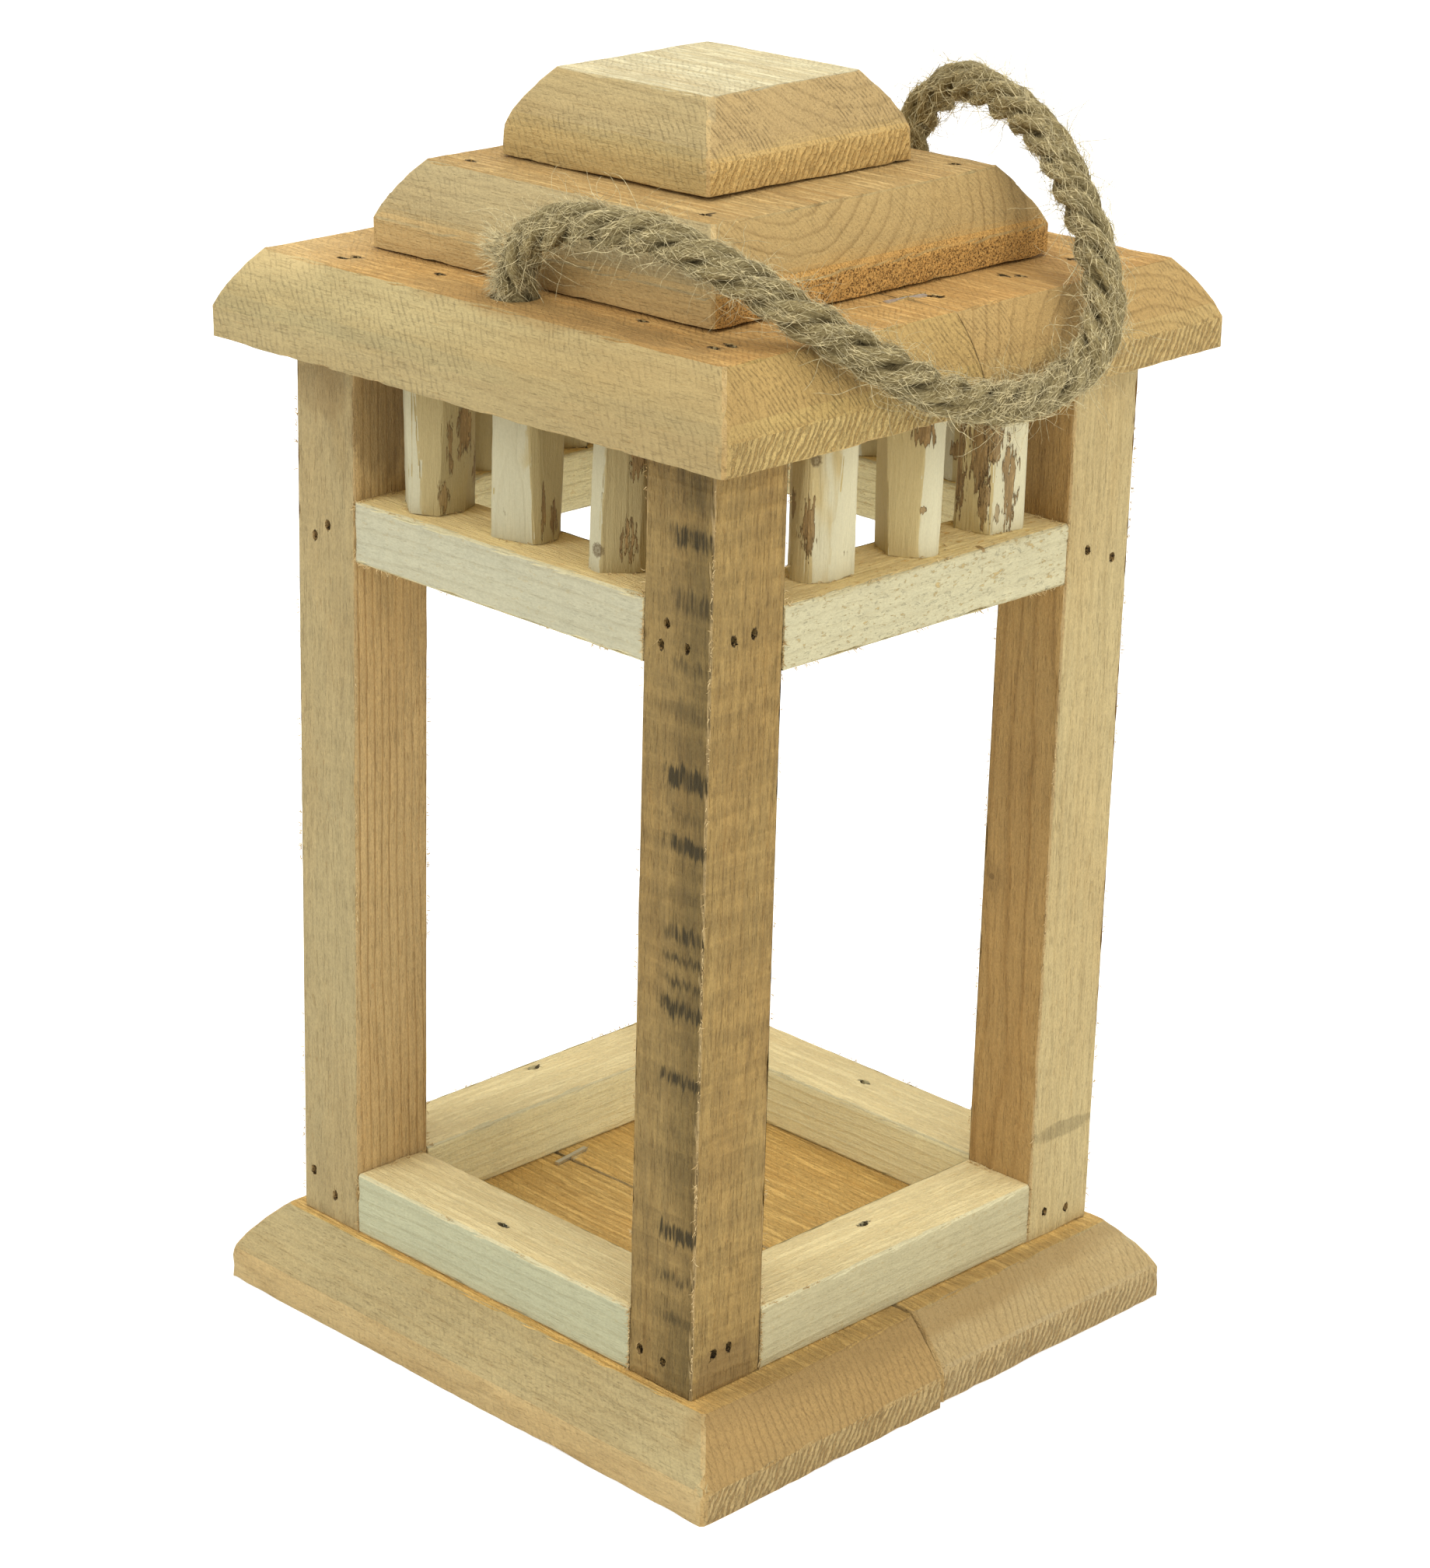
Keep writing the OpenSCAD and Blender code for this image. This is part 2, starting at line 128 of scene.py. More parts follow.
class LanternCameraLook(bpy.types.PropertyGroup):
    """Where the camera stands"""

    place: bpy.props.FloatVectorProperty(
        name="Place", description="Where the camera stands", size=3, subtype="TRANSLATION",
        unit="LENGTH", default=(0.61299, -0.63040, 0.45622))
    azimuth: angle_value("Azimuth", "Turn round the lantern from its front", 44.086)
    elevation: angle_value("Elevation", "Angle above the horizon", 20.336)
    roll: angle_value("Roll", "Tilt of the camera about its own axis", 1.565)
    lens: bpy.props.FloatProperty(
        name="Lens", description="Focal length for a 36 mm sensor", default=92.41, min=20,
        subtype="DISTANCE_CAMERA")


class LanternRopeLook(bpy.types.PropertyGroup):
    """Sizes and colours of the rope handle"""

    diameter: length_value("Diameter", "Nominal thickness of the rope", 0.010)
    strands: bpy.props.IntProperty(
        name="Strands", description="Strands laid into the rope", default=3, min=3, max=5)
    yarns: bpy.props.IntProperty(
        name="Yarns", description="Yarns twisted into each strand", default=3, min=2, max=5)
    pitch: length_value("Pitch", "Length of one turn of the strands", 0.025)
    yarn_pitch: length_value("Yarn pitch", "Length of one turn of the yarns", 0.022)
    strand_reach: length_value(
        "Strand reach", "Distance of a strand's line from the rope's line", 0.00225)
    yarn_reach: length_value(
        "Yarn reach", "Distance of a yarn's line from its strand's line", 0.00110)
    yarn_radius: length_value("Yarn radius", "Radius of one yarn", 0.00142)
    ring_step: length_value("Ring step", "Distance between two rings of a yarn", 0.0008)
    lying_fibres: bpy.props.IntProperty(
        name="Lying fibres", description="Fibres that lie on the rope", default=6500, min=0)
    stray_fibres: bpy.props.IntProperty(
        name="Stray fibres", description="Fibres that stand off the rope", default=3000, min=0)
    tuft_fibres: bpy.props.IntProperty(
        name="Frayed fibres", description="Fibres of the frayed tuft at the front hole",
        default=420, min=0)
    long_fibres: bpy.props.IntProperty(
        name="Long fibres", description="Long fibres that stand well off the rope",
        default=170, min=0)
    fibre_radius: length_value("Fibre radius", "Radius of a loose fibre", 0.00007)
    light: colour_value("Light fibre", "Crown of the yarns", 173, 156, 109)
    dark: colour_value("Dark fibre", "Valleys between the yarns", 100, 84, 50)
    grey: colour_value("Grey fibre", "Weathered patches", 164, 153, 114)
    hair: colour_value("Loose fibre", "Fibres that catch the light", 222, 206, 158)


class LanternTimberLook(bpy.types.PropertyGroup):
    """Sizes and colours of the timber"""

    board_grid: length_value("Board grid", "Distance between edges on the boards", 0.003)
    post_grid: length_value("Post grid", "Distance between edges on posts and rails", 0.0025)
    stick_grid: length_value("Stick grid", "Distance between edges on the sticks", 0.0014)
    arris: length_value("Worn arris", "Width of the wear along a board's edges", 0.0006)
    hip: length_value("Worn hips", "Width of the wear along the hips of a board", 0.0018)
    waviness: length_value("Waviness", "How far a sawn face strays from flat", 0.00025)
    roof: colour_value("Roof boards", "Clear wood of the roof", 194, 169, 118)
    base: colour_value("Base boards", "Clear wood of the base", 192, 168, 118)
    post: colour_value("Posts", "Clear wood of the posts", 184, 158, 110)
    rail: colour_value("Rails", "Pale wood of the rails", 212, 203, 162)
    stick: colour_value("Sticks", "Peeled wood of the sticks", 202, 192, 154)
    bark: colour_value("Bark", "Remains of inner bark", 150, 122, 78)
    splinter: colour_value("Splinters", "Torn fibres of the sawn edges", 216, 192, 140)
    splinters: bpy.props.FloatProperty(
        name="Splinters per millimetre", description="Torn fibres along a sawn edge",
        default=0.9, min=0)
    stain: colour_value("Stain", "Old grey stains on a post", 60, 50, 26)


class LanternStageLook(bpy.types.PropertyGroup):
    """The floor and the light"""

    floor_size: length_value("Floor size", "Side of the floor", 12.0, 1, 50)
    floor: colour_value("Floor", "Colour of the floor", 240, 240, 238)
    sky: bpy.props.FloatProperty(
        name="Sky", description="Strength of the light from all round", default=0.80, min=0)
    key: bpy.props.FloatProperty(
        name="Key light", description="Power of the front light", default=18.0, min=0,
        unit="POWER")
    fill: bpy.props.FloatProperty(
        name="Fill light", description="Power of the right-hand light", default=18.0, min=0,
        unit="POWER")
    top: bpy.props.FloatProperty(
        name="Top light", description="Power of the light above", default=22.0, min=0,
        unit="POWER")


# ---------------------------------------------------------------- shader maths

def linear(colour):
    """A screen colour, parts 0 to 1, as the shader's linear colour."""
    return tuple(
        c / 12.92 if c <= 0.04045 else ((c + 0.055) / 1.055) ** 2.4 for c in colour) + (1.0,)


def shaded(colour, factor):
    """A linear colour made darker or lighter."""
    return tuple(c * factor for c in colour[:3]) + (1.0,)


class Wire:
    """A value in a shader, whose maths is written with Python's own operators."""

    def __init__(self, finish, socket):
        self.finish = finish
        self.socket = socket

    def maths(self, operation, *values):
        """Adds one Math node on the values."""
        return self.finish.node(
            "ShaderNodeMath", {"operation": operation}, dict(enumerate(values)))

    def __add__(self, other):
        return self.maths("ADD", self, other)

    def __sub__(self, other):
        return self.maths("SUBTRACT", self, other)

    def __rsub__(self, other):
        return self.maths("SUBTRACT", other, self)

    def __mul__(self, other):
        return self.maths("MULTIPLY", self, other)

    def __truediv__(self, other):
        return self.maths("DIVIDE", self, other)

    __radd__ = __add__
    __rmul__ = __mul__

    def fraction(self):
        return self.maths("FRACT", self)

    def size(self):
        return self.maths("ABSOLUTE", self)

    def power(self, exponent):
        return self.maths("POWER", self, exponent)

    def highest(self, other):
        return self.maths("MAXIMUM", self, other)

    def lowest(self, other):
        return self.maths("MINIMUM", self, other)

    def rise(self, low, high):
        """0 below low, 1 above high, and smooth between them."""
        return self.finish.node(
            "ShaderNodeMapRange", {"interpolation_type": "SMOOTHSTEP"},
            {"Value": self, "From Min": low, "From Max": high})


class Finish:
    """One material, or the sky, built node by node. Patterns are laid out in millimetres."""

    def __init__(self, name, kind="materials"):
        self.owner = getattr(bpy.data, kind).new(name)
        self.owner.use_nodes = True
        self.tree = self.owner.node_tree
        self.tree.nodes.clear()

    def node(self, kind, settings=None, values=None, out=0):
        """Adds a node: its settings first, then the values or wires of its sockets."""
        made = self.tree.nodes.new(kind)
        for key, value in (settings or {}).items():
            if key == "stops":
                self._set_stops(made.color_ramp, value)
            else:
                setattr(made, key, value)
        for key, value in (values or {}).items():
            socket = self._socket(made.inputs, key)
            if isinstance(value, Wire):
                self.tree.links.new(value.socket, socket)
            else:
                socket.default_value = value
        if out is not None:
            return Wire(self, self._socket(made.outputs, out))

    @staticmethod
    def _socket(sockets, key):
        """A socket by its number, its identifier or its name."""
        if isinstance(key, int):
            return sockets[key]
        return next(s for s in sockets if key in (s.identifier, s.name))

    @staticmethod
    def _set_stops(ramp, stops):
        """Sets a ramp's stops, each a place and a number or a colour."""
        while len(ramp.elements) < len(stops):
            ramp.elements.new(1.0)
        for element, (place, colour) in zip(ramp.elements, stops):
            element.position = place
            element.color = colour if hasattr(colour, "__len__") else (colour,) * 3 + (1.0,)

    def place(self):
        """The point on the piece, in millimetres from the lantern's origin."""
        spot = self.node("ShaderNodeTexCoord", out="Object")
        return self.scaled(spot, 1000, 1000, 1000)

    def scaled(self, vector, x, y, z):
        """The vector stretched along its axes."""
        return self.node(
            "ShaderNodeVectorMath", {"operation": "MULTIPLY"}, {0: vector, 1: (x, y, z)})

    def turned(self, vector, turn, shift=(0, 0, 0)):
        """Turns a vector by three angles and then shifts it."""
        return self.node(
            "ShaderNodeMapping", None,
            {"Vector": vector, "Rotation": turn, "Location": shift})

    def parts(self, vector):
        """The x, y and z of a vector."""
        made = self.node("ShaderNodeSeparateXYZ", None, {0: vector})
        outputs = made.socket.node.outputs
        return [Wire(self, outputs[i]) for i in range(3)]

    def distance(self, vector):
        """The length of a vector."""
        return self.node(
            "ShaderNodeVectorMath", {"operation": "LENGTH"}, {0: vector}, out="Value")

    def offset(self, vector, centre):
        """The vector measured from a centre."""
        return self.node(
            "ShaderNodeVectorMath", {"operation": "SUBTRACT"}, {0: vector, 1: centre})

    def along(self, vector, way):
        """How far the vector goes along a way."""
        return self.node(
            "ShaderNodeVectorMath", {"operation": "DOT_PRODUCT"}, {0: vector, 1: way},
            out="Value")

    def noise(self, vector, scale=1.0, detail=2.0, rough=0.5):
        """A cloudy pattern from 0 to 1. The scale is one number, or one for each axis."""
        if isinstance(scale, tuple):
            vector = self.scaled(vector, *scale)
            scale = 1.0
        return self.node(
            "ShaderNodeTexNoise", None,
            {"Vector": vector, "Scale": scale, "Detail": detail, "Roughness": rough},
            out="Fac")

    def ramp(self, value, stops):
        """A value looked up along a row of stops, as a number."""
        colour = self.node(
            "ShaderNodeValToRGB", {"stops": stops}, {"Fac": value}, out="Color")
        return self.node("ShaderNodeSeparateColor", None, {0: colour})

    def blend(self, factor, first, second, kind="MIX"):
        """Two colours mixed by a factor."""
        return self.node(
            "ShaderNodeMix", {"data_type": "RGBA", "blend_type": kind},
            {"Factor_Float": factor, "A_Color": first, "B_Color": second},
            out="Result_Color")

    def washed(self, colour, amount, tint):
        """The colour times a tint, as far as the amount goes."""
        return self.blend(amount, colour, tint + (1.0,), "MULTIPLY")

    def tinted(self, colour, value, low, high):
        """The colour made darker or lighter: times low where value is 0, high where 1."""
        grey = self.blend(value, (low, low, low, 1), (high, high, high, 1))
        return self.blend(1.0, colour, grey, "MULTIPLY")

    def normal_parts(self):
        """The x, y and z of the way that the surface faces."""
        return self.parts(self.node("ShaderNodeNewGeometry", out="True Normal"))

    def towards(self, way):
        """1 where the surface faces one of the ways, 0 where it turns from it."""
        normal = self.node("ShaderNodeNewGeometry", out="True Normal")
        return self.along(normal, WAYS[way]).rise(0.86, 0.95)

    def surface(self, colour, roughness, height=None, depth=0.0003, **constants):
        """Closes the material: a principled shader with an optional bump of that depth."""
        values = {"Base Color": colour, "Roughness": roughness}
        values.update({key.replace("_", " "): v for key, v in constants.items()})
        if height is not None:
            values["Normal"] = self.node(
                "ShaderNodeBump", None,
                {"Strength": 1.0, "Distance": depth, "Height": height})
        return self.closed(self.node("ShaderNodeBsdfPrincipled", None, values))

    def closed(self, shader, output="ShaderNodeOutputMaterial"):
        """Ends the material, or the sky, with its shader."""
        self.node(output, None, {"Surface": shader}, out=None)
        return self.owner


# ---------------------------------------------------------------- wood

# The ways in which the surfaces of the lantern face
WAYS = {
    "top": (0, 0, 1), "front": (0, -1, 0), "right": (1, 0, 0), "rear": (0, 1, 0),
    "left": (-1, 0, 0), "front_slope": (0, -0.7, 0.7), "right_slope": (0.7, 0, 0.7),
}
# Turns that lay the grain of a piece along x
GRAIN_TURNS = {"x": (0, 0, 0), "y": (0, 0, -math.pi / 2), "z": (0, math.pi / 2, 0)}


def grain_space(finish, along, pith, tilt=(0.0, 0.0)):
    """Millimetres with the grain along x and the pith of the tree on the x axis. The
    pith is a point of the lantern, and the tilt is in degrees."""
    turn = GRAIN_TURNS[along]
    lean = Matrix.Rotation(math.radians(tilt[0]), 4, "Y") @ Matrix.Rotation(
        math.radians(tilt[1]), 4, "Z")
    whole = lean @ Matrix.Rotation(turn[2], 4, "Z") @ Matrix.Rotation(turn[1], 4, "Y")
    shift = -(whole @ Vector(pith))
    return finish.turned(finish.place(), tuple(whole.to_euler("XYZ")), tuple(shift))


def stained(finish, colour, spot, centre, radii, tone, strength=1.0, ragged=0.8, grit=0.6,
            stretch=(1, 1, 1), soft=0.33):
    """Lays one ragged patch of another tone over a colour, and gives its mask too."""
    inside = finish.scaled(finish.offset(spot, centre), *(1.0 / r for r in radii))
    edge = finish.noise(finish.scaled(spot, *stretch), grit, 3, 0.65) - 0.5
    mask = 1 - (finish.distance(inside) + edge * ragged).rise(0.8 - soft / 2, 0.8 + soft / 2)
    return finish.blend(mask * strength, colour, tone), mask


def nail_marks(finish, spot, along, heads, wide=0.9, deep=4.0):
    """A mask of the torn slits round the brads, which are painted dark as the shade inside
    the holes. Each of the heads is a brad's driven end and its direction into the wood.
    The slits are longest along the grain."""
    ragged = (finish.noise(spot, 1.1, 2, 0.6) - 0.5) * 1.5
    mask = 0.0
    for head, inward in heads:
        reach = [1 / wide] * 3
        reach["xyz".index(along)] = 1 / (1.5 if along == "z" else 2.2)
        reach[max(range(3), key=lambda i: abs(inward[i]))] = 1 / deep
        near = finish.scaled(finish.offset(spot, head / MM), *reach)
        slit = 1 - (finish.distance(near) + ragged).rise(0.7, 0.95)
        mask = slit.highest(mask)
    return mask


def year_rings(finish, grain, ring, wobble):
    """The dark lines of the years, round the pith, as numbers from 0 to 1."""
    _, across, upright = finish.parts(grain)
    drift = finish.noise(grain, (0.010, 0.035, 0.035), 2) - 0.5
    ripple = finish.noise(grain, (0.05, 0.22, 0.22), 2) - 0.5
    radius = (across * across + upright * upright).power(0.5)
    phase = (radius + drift * (2.2 * wobble) + ripple * (0.40 * wobble)) / ring
    late = finish.ramp(
        phase.fraction(), ((0.0, 0.45), (0.05, 0.0), (0.70, 0.06), (0.93, 1.0), (1.0, 0.45)))
    strength = finish.noise(grain, (0.008, 0.05, 0.05), 1).rise(0.25, 0.7)
    return late * (strength * 0.6 + 0.4)


def resin_dashes(finish, grain, colour, amount):
    """Short dark dashes along the grain, in loose groups."""
    here = finish.noise(grain, (0.02, 0.08, 0.08), 1).rise(0.42, 0.6)
    dash = finish.noise(grain, (0.3164, 2.486, 2.486), 0).rise(0.72, 0.77)
    return finish.washed(colour, dash * amount * (here * 0.8 + 0.2), (0.66, 0.50, 0.33))


def plane_teeth(finish, spot, end, flat_end, colour, height, teeth):
    """The rows of small torn marks that a dull plane has left, leaning one way on the
    long faces and another on the slopes across the grain."""
    sway = finish.noise(spot, (0.06, 0.06, 0.06), 2) - 0.5
    torn_off = finish.noise(spot, (0.7, 0.4, 0.4), 2, 0.6).rise(0.36, 0.6)
    area = finish.noise(spot, (0.02, 0.05, 0.05), 1).rise(0.30, 0.6)
    x, y, z = finish.parts(spot)
    tooth = ((0.0, 0.0), (0.2, 1.0), (0.45, 0.1), (0.8, 0.0))
    long = finish.ramp(((x + y * 1.1 + z * 0.4 + sway * 8) / 1.9).fraction(), tooth)
    short = finish.ramp(((y + z * 0.45 + sway * 6) / 1.3).fraction(), tooth)
    slope = end * (1 - flat_end)
    cut = (long * (1 - end) + short * slope * 1.5) * torn_off * (area * 0.75 + 0.25)
    colour = finish.tinted(colour, cut, 1.0 + 0.04 * teeth, 1 - 0.17 * teeth)
    return colour, height - cut * (0.30 * teeth)


def rough_top(finish, grain, upward, colour, height, rough):
    """Raised fibres on the faces that look up, which the weather has opened. The ridges
    are lighter and the hollows darker: partly the fibres' own tone, partly painted
    highlight and painted shade over their bump.
    """
    up = upward.rise(0.8, 0.95)
    ridge = finish.noise(grain, (0.06, 0.75, 0.75), 4, 0.75).rise(0.41, 0.59)
    colour = finish.washed(colour, (1 - ridge) * up * rough, (0.82, 0.74, 0.61))
    colour = finish.washed(colour, ridge * up * rough, (1.13, 1.13, 1.12))
    return colour, height + ridge * up * (0.6 * rough)


def saw_bands(finish, grain, colour, height, sawn):
    """The uneven bands of the saw across the grain."""
    bands = finish.noise(grain, (0.26, 0.02, 0.02), 2, 0.6)
    broken = finish.noise(grain, (0.22, 0.40, 0.40), 2)
    bands = (bands * 0.6 + broken * 0.4).rise(0.38, 0.62)
    colour = finish.tinted(colour, bands, 1 - 0.15 * sawn, 1 + 0.08 * sawn)
    return colour, height + bands * (0.6 * sawn)


def torn_wool(finish, grain, colour, height, torn):
    """The pits and tufts of wood that the saw has torn instead of cut. The pits are
    darker, as painted shade, and the tufts lighter, as painted highlight, over their bump.
    """
    wool = finish.noise(grain, (0.36, 0.8, 0.8), 4, 0.7)
    pits = wool.rise(0.58, 0.66)
    tufts = 1 - wool.rise(0.32, 0.40)
    colour = finish.washed(colour, pits * torn, (0.90, 0.73, 0.50))
    colour = finish.washed(colour, tufts * (0.6 * torn), (1.08, 1.09, 1.10))
    return colour, height - pits * (0.20 * torn) + tufts * (0.30 * torn)


def end_pores(finish, spot, end, flat_end, colour, height, grit):
    """The open pores of the end grain, darker as painted shade, and with grit its dark
    holes and bright specks, as painted shade and painted highlight over their bump.
    """
    pores = finish.noise(spot, (1.5, 1.5, 1.5), 3, 0.7)
    rough_end = flat_end * 0.55 + end * 0.45
    shade = pores.rise(0.36, 0.60) * rough_end + (1 - rough_end)
    colour = finish.tinted(colour, shade, 0.78, 1.0)
    height = height + pores * rough_end * 0.9
    if grit:
        specks = finish.noise(spot, (2.6, 2.6, 2.6), 2, 0.6)
        holes = specks.rise(0.55, 0.66) * flat_end * grit
        bright = (1 - specks.rise(0.34, 0.42)) * flat_end * grit
        colour = finish.washed(colour, holes, (0.40, 0.32, 0.24))
        colour = finish.washed(colour, bright, (1.30, 1.34, 1.40))
        height = height - holes * 1.6
    return colour, height


def end_strokes(finish, spot, flat_end, colour, height, hatch):
    """The slanting strokes of a coarse blade over the flat end grain. The gaps are darker
    and the crests lighter: partly the wood's own tone, partly painted shade and painted
    highlight over their bump.
    """
    lean = finish.turned(spot, (math.radians(27), 0, 0))
    _, down, rise = finish.parts(spot)
    sway = finish.noise(spot, (0.12, 0.12, 0.12), 2) - 0.5
    comb = ((down - rise * 0.55 + sway * 5) / 1.9).fraction()
    comb = finish.ramp(comb, ((0.0, 0.25), (0.35, 0.75), (0.65, 0.75), (1.0, 0.25)))
    strokes = finish.noise(lean, (0.8, 0.9, 0.25), 3, 0.7)
    strokes = (strokes * 0.65 + comb * 0.35).rise(0.42, 0.58)
    crest = strokes * flat_end
    gap = (1 - strokes) * flat_end
    colour = finish.washed(colour, gap * (0.8 * hatch), (0.74, 0.63, 0.48))
    colour = finish.washed(colour, crest * hatch, (1.16, 1.17, 1.17))
    return colour, height + crest * (1.2 * hatch)


def wood_finish(name, along, pith, tone, ring=3.4, tilt=(0.0, 0.0), show=0.5, wobble=3.0,
                streak=0.5, teeth=0.0, sawn=0.0, fuzz=0.5, warm=0.35, hatch=0.0, grit=0.0,
                torn=0.0, dashes=0.3, rough=0.0, sides=(), stains=(), heads=(), extra=None):
    """Raw softwood. The rings run round the pith, so that faces along the grain show
    lines and the ends show arcs. Lengths are in millimetres. Each of the sides is the
    way it faces, its tint and how strongly the lines show there. The tint is painted
    light and shade on the faces that look that way, with some of the wood's own tone."""
    finish = Finish(name)
    spot = finish.place()
    grain = grain_space(finish, along, pith, tilt)
    normal = finish.normal_parts()
    facing = normal["xyz".index(along)].size()
    end = facing.rise(0.35, 0.8)
    flat_end = facing.rise(0.93, 0.98)
    line = year_rings(finish, grain, ring, wobble)

    fibre = finish.noise(grain, (0.055, 1.1, 1.1), 4, 0.62)
    hairs = finish.noise(grain, (0.17, 2.2, 2.2), 1, 0.6)
    fleck = finish.noise(grain, (1.3, 2.5, 2.5), 2, 0.6)
    patch = finish.noise(grain, (0.014, 0.06, 0.06), 3, 0.6)
    blur = finish.noise(grain, (0.03, 0.16, 0.16), 2)
    scored = hairs.rise(0.64, 0.72)
    raised = 1 - hairs.rise(0.28, 0.36)

    gain = show
    for way, _, lines in sides:
        gain = gain + finish.towards(way) * (lines - show)
    colour = finish.blend(line * gain, tone, shaded(warmer(tone), 0.60))
    # Each side's tint: painted light and shade on the faces that look that way, with some of
    # the wood's own tone
    for way, tint, _ in sides:
        colour = finish.washed(colour, finish.towards(way), tint)
    colour = finish.washed(colour, patch.rise(0.35, 0.75) * warm, (0.90, 0.76, 0.60))
    colour = finish.tinted(colour, fibre.rise(0.3, 0.7), 1 - 0.20 * streak, 1 + 0.14 * streak)
    colour = finish.tinted(colour, blur, 0.93, 1.07)
    colour = finish.tinted(colour, fleck.rise(0.33, 0.67), 1 - 0.16 * fuzz, 1 + 0.15 * fuzz)
    # Scored lines darker and raised fibres lighter: partly the wood's own tone, partly painted
    # shade and painted highlight over their bump
    colour = finish.washed(colour, scored * (0.7 * streak), (0.84, 0.74, 0.60))
    colour = finish.washed(colour, raised * (0.7 * streak), (1.12, 1.12, 1.12))
    if dashes:
        colour = resin_dashes(finish, grain, colour, (1 - end) * dashes)
    arcs = finish.blend(
        line * 0.6, shaded(warmer(tone), 1.026), shaded(warmer(tone), 0.612))
    colour = finish.blend(end * 0.62, colour, arcs)
    height = fibre * 0.40 + fleck * (0.7 * fuzz) + (raised - scored) * (0.45 * streak)
    height = height + line * 0.18

    if teeth:
        colour, height = plane_teeth(finish, spot, end, flat_end, colour, height, teeth)
    if rough:
        colour, height = rough_top(finish, grain, normal[2], colour, height, rough)
    if sawn:
        colour, height = saw_bands(finish, grain, colour, height, sawn)
    if torn:
        colour, height = torn_wool(finish, grain, colour, height, torn)
    colour, height = end_pores(finish, spot, end, flat_end, colour, height, grit)
    if hatch:
        colour, height = end_strokes(finish, spot, flat_end, colour, height, hatch)

    for stain in stains:
        colour, _ = stained(finish, colour, spot, **stain)
    if heads:
        # The slits are painted dark: painted shade inside the holes round the brads
        slits = nail_marks(finish, spot, along, heads)
        colour = finish.blend(slits * 0.92, colour, shaded(warmer(tone), 0.13))
        height = height - slits * 1.5
    if extra:
        colour, height = extra(finish, spot, grain, colour, height)
    roughness = 0.70 + fibre * 0.16
    return finish.surface(colour, roughness, height, 0.7 * MM, Specular_IOR_Level=0.25)


def warmer(tone):
    """A wood tone shifted towards orange, as latewood and fresh end grain are."""
    return (tone[0], tone[1] * 0.86, tone[2] * 0.66, 1.0)


# ---------------------------------------------------------------- modelling helpers

def activate(piece):
    """Selects one piece alone, because the frame's nodes come in selected."""
    bpy.ops.object.select_all(action="DESELECT")
    piece.select_set(True)
    bpy.context.view_layer.objects.active = piece


def new_piece(name, mesh):
    """Puts a mesh into the scene as a piece."""
    piece = bpy.data.objects.new(name, mesh)
    bpy.context.scene.collection.objects.link(piece)
    return piece


def shell_piece(name, shell, material):
    """Closes a shell that was built face by face, and makes it a piece of one material."""
    mesh = bpy.data.meshes.new(name)
    shell.to_mesh(mesh)
    shell.free()
    mesh.materials.append(material)
    return new_piece(name, mesh)


def brad_lines():
    """The line of every brad, as its driven end and the direction into the wood."""
    lines = []
    middle = Vector((0, 0, (FRAME_BOX[0].z + FRAME_BOX[1].z) / 2))
    for node in ("post_brads", "base_brads", "sill_brads", "roof_brads"):
        shell = bmesh.new()
        shell.from_mesh(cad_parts[node].data)
        bmesh.ops.remove_doubles(shell, verts=shell.verts, dist=MERGE)
        for island in islands(shell):
            low = Vector(min(v.co[i] for v in island) for i in range(3))
            high = Vector(max(v.co[i] for v in island) for i in range(3))
            axis = max(range(3), key=lambda i: high[i] - low[i])
            centre = (low + high) / 2
            outward = 1 if centre[axis] > middle[axis] else -1
            if node == "sill_brads":
                outward = 1
            head = centre.copy()
            head[axis] = (high if outward > 0 else low)[axis]
            inward = Vector((0, 0, 0))
            inward[axis] = -outward
            lines.append((head, inward))
        shell.free()
    return lines


def driven_into(node, lines):
    """The brads that are driven into one piece."""
    low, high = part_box(node)
    return [
        (head, inward) for head, inward in lines
        if all(low[i] - MM < head[i] < high[i] + MM for i in range(3))]


def islands(shell):
    """The separate solids of a mesh, each as a list of its vertices."""
    seen = set()
    found = []
    for start in shell.verts:
        if start in seen:
            continue
        seen.add(start)
        stack = [start]
        island = []
        while stack:
            vert = stack.pop()
            island.append(vert)
            for edge in vert.link_edges:
                other = edge.other_vert(vert)
                if other not in seen:
                    seen.add(other)
                    stack.append(other)
        found.append(island)
    return found


def tear_holes(piece, lines, grain_axis, radius=0.9 * MM, sunk=1.0 * MM):
    """Makes the rims of the brad holes ragged slits that run along the grain. A rim lies
    further out than its sunk brad."""
    shell = bmesh.new()
    shell.from_mesh(piece.data)
    for head, inward in lines:
        for vert in shell.verts:
            off = vert.co - head
            depth = off.dot(inward)
            if depth > -sunk:
                continue
            radial = off - inward * depth
            if radial.length > radius or radial.length < 1e-5:
                continue
            spread = noise.noise(vert.co * 2500) * 0.5 + 0.5
            radial = radial.normalized()
            along = radial[grain_axis] if abs(inward[grain_axis]) < 0.5 else radial.length
            pull = (0.15 + 0.55 * spread) * (0.25 + 0.75 * abs(along))
            vert.co += radial * pull * MM
    shell.to_mesh(piece.data)
    shell.free()


